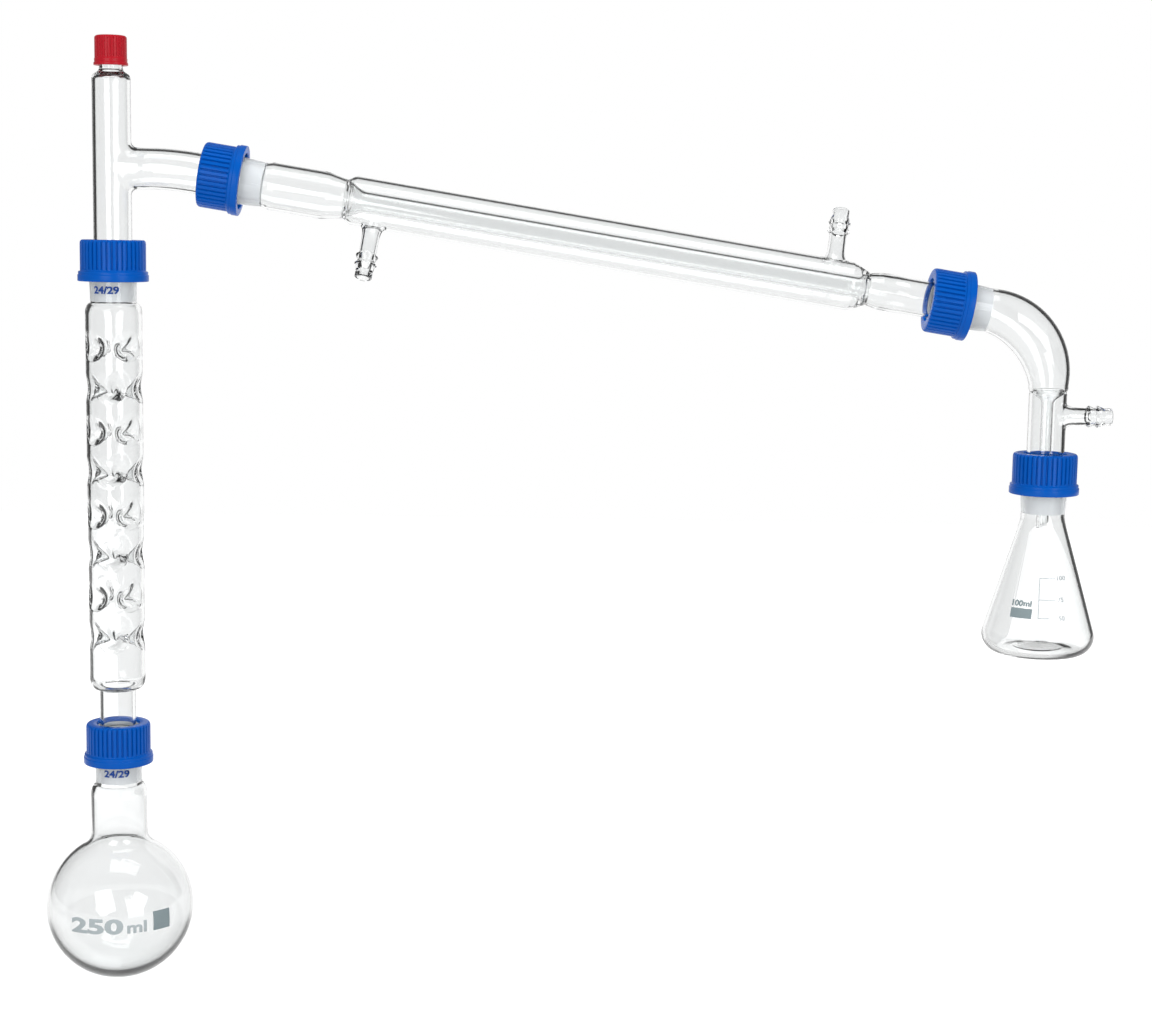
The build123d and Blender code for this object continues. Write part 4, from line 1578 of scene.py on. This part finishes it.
@dataclass(frozen=True)
class Mark:
    """Word or bar of a print, with its place and size on the unrolled glass in millimetres.

    The bearing is in degrees from the front to the right, the height is that of its foot.
    """

    bearing: float
    height: float
    wide: float
    tall: float
    words: str = ""
    weight: float = 0.018

    def flat(self) -> bmesh.types.BMesh:
        """Flat shape, centred across and standing on zero, in millimetres."""
        shape = bmesh.new()
        if self.words:
            letters = bpy.data.curves.new("letters", "FONT")
            letters.body, letters.resolution_u, letters.offset = self.words, 4, self.weight
            holder = linked("letters", letters)
            mesh = settled(holder)
            shape.from_mesh(mesh)
            bpy.data.objects.remove(holder)
            bpy.data.curves.remove(letters)
            bpy.data.meshes.remove(mesh)
        else:
            bmesh.ops.create_grid(shape, x_segments=1, y_segments=1, size=0.5)
        across, along = [vertex.co.x for vertex in shape.verts], [vertex.co.y for vertex in shape.verts]
        left, foot = min(across), min(along)
        width, height = max(across) - left, max(along) - foot
        for vertex in shape.verts:
            x = ((vertex.co.x - left) / width - 0.5) * self.wide
            vertex.co = Vector((x, (vertex.co.y - foot) / height * self.tall, 0))
        return shape


@dataclass(frozen=True)
class Print:
    """Enamel print, burnt on to glass that was turned round an axis."""

    name: str
    body: str
    axis: Axis
    marks: tuple[Mark, ...]
    thickness: float = 0.05
    sink: float = 0.02
    cell: float = 0.7
    cut_gap: float = 1e-5
    join_gap: float = 1e-4

    def build(self, surface: Callable[[float], float], material: Material) -> Object:
        """Wrap the marks round the glass.

        Args:
            surface: The glass's radius at a height.
            material: Ink of the print.

        Returns:
            The new object.
        """
        whole = bpy.data.meshes.new(self.name)
        solid = bmesh.new()
        for mark in self.marks:
            shape = mark.flat()
            for way, size in ((Vector((1, 0, 0)), mark.wide), (Vector((0, 1, 0)), 2 * mark.tall)):
                for step in range(int(size / self.cell)):
                    place = way * (step * self.cell - size / 2)
                    everything = [*shape.verts, *shape.edges, *shape.faces]
                    cut = {"dist": self.cut_gap, "plane_co": place, "plane_no": way}
                    bmesh.ops.bisect_plane(shape, geom=everything, **cut)
            bmesh.ops.remove_doubles(shape, verts=shape.verts, dist=self.join_gap)
            copied = bmesh.ops.extrude_face_region(shape, geom=shape.faces[:], use_keep_orig=True)
            top = {item for item in copied["geom"] if isinstance(item, bmesh.types.BMVert)}
            for vertex in shape.verts:
                height = mark.height + vertex.co.y
                glass = surface(height)
                angle = pi + radians(mark.bearing) + vertex.co.x / glass
                radius = glass - self.sink + (self.thickness if vertex in top else 0)
                vertex.co = self.axis.at(radius, angle, height) * MM
            bmesh.ops.recalc_face_normals(shape, faces=shape.faces)
            shape.to_mesh(whole)
            shape.free()
            solid.from_mesh(whole)
        solid.to_mesh(whole)
        solid.free()
        whole.materials.append(material)
        return piece(self.name, whole, self.body, "borosilicate_glass")


@dataclass(frozen=True)
class ReceiverScale:
    """Graduations of the receiving flask: a line up the glass, and a bar and a number at each volume.

    Each step is (number, height, bearing of the bar's right end).
    """

    left: float = -13.2
    foot: float = -86.6
    tall: float = 22.6
    line: float = 0.4
    gap: float = 1.2
    digit_wide: float = 1.8
    digit_tall: float = 2.6
    digit_drop: float = 0.9
    steps: tuple[tuple[int, float, float], ...] = ((100, -64.3, 9.6), (75, -76.3, 8.6), (50, -86.5, 8.6))

    def marks(self, surface: Callable[[float], float]) -> tuple[Mark, ...]:
        """Marks of the scale on a glass of a radius at each height."""
        marks = [Mark(self.left, self.foot, self.line, self.tall)]
        for number, height, right in self.steps:
            radius = surface(height)
            start, end = radians(self.left) * radius, radians(right) * radius
            wide = end - start
            marks.append(Mark(degrees((start + wide / 2) / radius), height, wide, self.line))
            digits = self.digit_wide * len(str(number))
            middle = end + self.gap + digits / 2
            place = degrees(middle / radius), height - self.digit_drop
            marks.append(Mark(*place, digits, self.digit_tall, str(number)))
        return tuple(marks)


@dataclass(frozen=True)
class Prints:
    """Joint sizes, volumes and graduations, as plain numbers."""

    layout: Layout
    joint: GroundJoint
    palette: Palette
    column_size: Mark = Mark(-8.6, -24.4, 15.6, 4.4, "24/29", 0.035)
    flask_size: Mark = Mark(5.5, -24.2, 15.2, 4.4, "24/29", 0.035)
    receiver_volume: tuple[Mark, ...] = (
        Mark(-40.0, -80.4, 6.8, 3.5, "100", 0.045), Mark(-27.0, -80.2, 4.8, 3.3, "ml", 0.045),
        Mark(-34.0, -86.9, 12.9, 5.5),
    )
    scale: ReceiverScale = ReceiverScale()

    def build(self) -> None:
        """Print every piece that the photograph shows printed."""
        layout, joint, palette = self.layout, self.joint, self.palette
        flask, cone = RoundBottomFlask(layout, joint, palette), ConicalFlask(layout, joint, palette)
        column = VigreuxColumn(layout, joint, palette)
        centre = flask.centre

        def socket(radius: float) -> Callable[[float], float]:
            """Outer wall of a ground zone that starts at a radius."""
            low, high, wide = -joint.length, -joint.collar_length - 2, joint.rim - 0.5
            return lambda height: radius + (wide - radius) * (height - low) / (high - low)

        def ball(height: float) -> float:
            """Outer wall of the round flask."""
            return sqrt(flask.bulb**2 - (height - centre) ** 2)

        def side(height: float) -> float:
            """Outer wall of the conical flask."""
            return cone.foot - (height + cone.height) * cone.slope

        number = Mark(-8.0, centre - 4.6, 31.5, 9.2, "250", 0.04)
        unit = Mark(23.8, centre - 4.3, 11.4, 7.0, "ml", 0.03)
        patch = Mark(44.6, centre - 4.5, 11.2, 11.3)
        for name, body, marks, surface, ink in (
            ("column_joint_size", "column", (self.column_size,), socket(column.socket), palette.blue_ink),
            ("flask_joint_size", "flask", (self.flask_size,), socket(flask.socket), palette.blue_ink),
            ("flask_volume", "flask", (number, unit), ball, palette.pale_ink),
            ("flask_label_patch", "flask", (patch,), ball, palette.grey_ink),
            ("receiver_volume", "receiver", self.receiver_volume, side, palette.grey_ink),
            ("receiver_scale", "receiver", self.scale.marks(side), side, palette.faint_ink),
        ):
            Print(name, body, getattr(layout, body), marks).build(surface, ink)


# Studio


@dataclass(frozen=True)
class SoftBox:
    """Rectangular lamp, aimed at the apparatus."""

    name: str
    place: Place
    size: tuple[float, float]
    power: float
    mirrored: bool = True

    def build(self, aim: Vector) -> None:
        """Hang the lamp."""
        light = bpy.data.lights.new(self.name, "AREA")
        light.shape, light.energy = "RECTANGLE", self.power
        light.size, light.size_y = self.size
        lamp = linked(self.name, light)
        lamp.location = self.place
        lamp.rotation_euler = (aim - Vector(self.place)).to_track_quat("-Z", "Z").to_euler()
        lamp.visible_glossy = self.mirrored


@dataclass(frozen=True)
class Studio:
    """White floor and surround, a lit screen, soft boxes, and the camera of the photograph.

    The glass mirrors the dark stretches of the floor in its edges, near the round flask's
    foot (foot_edge) and far from the middle (far_edge), which draws them as dark lines.
    """

    camera_at: Place = (0.2459, -1.2373, 0.3531)
    yaw: float = 0.0162
    pitch: float = 0.1302
    roll: float = 0.0165
    lens: float = 67.27
    sensor: float = 36.0
    clip: tuple[float, float] = (0.05, 20.0)
    mirror_light: float = 0.35
    through_light: float = 0.97
    edge_light: float = 0.02
    matt_light: float = 0.5
    bounces: int = 32
    mirror_bounces: int = 12
    floor_size: float = 4.0
    floor_grey: float = 0.45
    floor_dark: float = 0.02
    floor_loss: float = 0.5
    floor_drop: float = 0.0004
    middle: Place = (0.25, 0.0, 0.0)
    fade: Ramp = (0.35, 0.8, 0.68, 1.02)
    # Painted shade: glow taken off the floor near the flask's foot, for rays that came through glass
    foot_shade: Ramp = (0.02, 0.5, 0.12, 0.08)
    foot_edge: Ramp = (0.08, 0.13, 1.0, 0.25)
    far_edge: Ramp = (0.38, 0.48, 0.0, 1.0)
    lit_middle: Place = (0.2, 0.1, -0.094)
    screen: tuple[float, float, float, float] = (-0.10, 0.62, -0.09, 0.56)
    screen_at: float = 0.5
    aim: Place = (0.25, 0.0, 0.12)
    boxes: tuple[SoftBox, ...] = (
        SoftBox("left_box", (-0.34, -1.35, 0.47), (0.75, 1.0), 8.0),
        SoftBox("right_box", (1.15, -1.35, 0.47), (0.75, 1.0), 9.0),
        SoftBox("top_box", (0.25, -0.2, 1.6), (1.2, 0.8), 12.0, mirrored=False),
    )

    def camera(self) -> None:
        """Place the camera as it was fitted to the photograph."""
        ahead = Vector((sin(self.yaw) * cos(self.pitch), cos(self.yaw) * cos(self.pitch), -sin(self.pitch)))
        level = ahead.cross(UP).normalized()
        upright = level.cross(ahead)
        right = level * cos(self.roll) + upright * sin(self.roll)
        up = upright * cos(self.roll) - level * sin(self.roll)
        lens = bpy.data.cameras.new("camera")
        lens.lens, lens.sensor_width, lens.sensor_fit = self.lens, self.sensor, "HORIZONTAL"
        lens.clip_start, lens.clip_end = self.clip
        camera = linked("camera", lens)
        turn = Matrix((right, up, -ahead)).transposed().to_4x4()
        camera.matrix_world = Matrix.Translation(self.camera_at) @ turn
        bpy.context.scene.camera = camera

    def world(self) -> None:
        """White to the camera and through glass, dimmer as light, dark past the glass's inner edges."""
        world = bpy.data.worlds.new("studio")
        bpy.context.scene.world = world
        world.use_nodes = True
        world.node_tree.nodes.clear()
        nodes = Nodes(world.node_tree)
        path = nodes.new("ShaderNodeLightPath").outputs
        mirrored, _, edge = nodes.rays()
        seen = nodes.choose(mirrored, self.mirror_light, self.through_light)
        seen = nodes.choose(edge, self.edge_light, seen)
        seen = nodes.choose(path["Is Diffuse Ray"], self.matt_light, seen)
        seen = nodes.choose(path["Is Camera Ray"], 1.0, seen)
        nodes.finish(nodes.new("ShaderNodeBackground", {"Strength": seen, "Color": (1, 1, 1, 1)}), "World")

    def surface(self, name: str, corners: list[Place], material: Material) -> Object:
        """Flat stage object, which isn't part of the apparatus."""
        mesh = bpy.data.meshes.new(name)
        mesh.from_pydata(corners, [], [(0, 1, 2, 3)])
        mesh.materials.append(material)
        thing = linked(name, mesh)
        return thing

    def floor(self, height: float) -> None:
        """Pale floor that keeps the shadows and a painted shade near the flask's foot, with dark stretches
        that only the glass's edges mirror.
        """
        material, nodes = new_material("floor")
        foot = (0, 0, height)
        _, inside, edge = nodes.rays()
        matt, dark = (
            nodes.new("ShaderNodeBsdfDiffuse", {"Color": (grey, grey, grey, 1)})
            for grey in (self.floor_grey, self.floor_dark)
        )
        diffuse = nodes.new("ShaderNodeLightPath").outputs["Is Diffuse Ray"]
        lit = nodes.maths("MULTIPLY_ADD", diffuse, -self.floor_loss, nodes.reach(self.middle, self.fade))
        # Painted shade: the floor's glow drops near the flask's foot, only for rays that came through glass
        shaded = nodes.maths("MULTIPLY", nodes.reach(foot, self.foot_shade), inside)
        glow = nodes.new("ShaderNodeEmission", {"Strength": nodes.maths("SUBTRACT", lit, shaded)})
        both = nodes.new("ShaderNodeAddShader", {0: matt.outputs[0], 1: glow.outputs[0]})
        near, far = nodes.reach(foot, self.foot_edge), nodes.reach(self.lit_middle, self.far_edge)
        rim = nodes.maths("MULTIPLY", edge, nodes.maths("MAXIMUM", near, far))
        nodes.finish(nodes.new("ShaderNodeMixShader", {0: rim, 1: both.outputs[0], 2: dark.outputs[0]}))
        half, middle = self.floor_size / 2, self.middle[0]
        corners = ((-half, -half), (half, -half), (half, half), (-half, half))
        self.surface("floor", [(x + middle, y, height) for x, y in corners], material)

    def backdrop(self) -> None:
        """Lit screen behind the apparatus, seen only in and through the glass."""
        left, right, low, high = self.screen
        material, nodes = new_material("screen")
        nodes.finish(nodes.new("ShaderNodeEmission"))
        corners = ((left, low), (right, low), (right, high), (left, high))
        screen = self.surface("screen", [(x, self.screen_at, z) for x, z in corners], material)
        screen.visible_camera = screen.visible_diffuse = screen.visible_shadow = False

    def build(self) -> None:
        """Set up the studio."""
        scene = bpy.context.scene
        scene.view_settings.view_transform = "Standard"
        scene.cycles.max_bounces = scene.cycles.transmission_bounces = self.bounces
        scene.cycles.glossy_bounces = self.mirror_bounces
        self.camera()
        self.world()
        self.floor(CAD_BOX[0].z - self.floor_drop)
        self.backdrop()
        for box in self.boxes:
            box.build(Vector(self.aim))


def main() -> None:
    """Build the apparatus in its frame, then the studio round it."""
    logging.basicConfig(level=logging.INFO, format="%(message)s")
    palette, layout, joint = Palette(), Layout(), GroundJoint()
    copies = copies_tree()
    shared = (layout, joint, palette)
    RoundBottomFlask(*shared).build()
    VigreuxColumn(*shared).build(copies)
    for glassware in (StillHead, Condenser, ReceiverAdapter, ConicalFlask):
        glassware(*shared).build()
    fittings = JointFittings(layout, palette, copies)
    fittings.build()
    ThermometerPort(fittings).build()
    Prints(*shared).build()
    Studio().build()


if __name__ == "__main__":
    main()
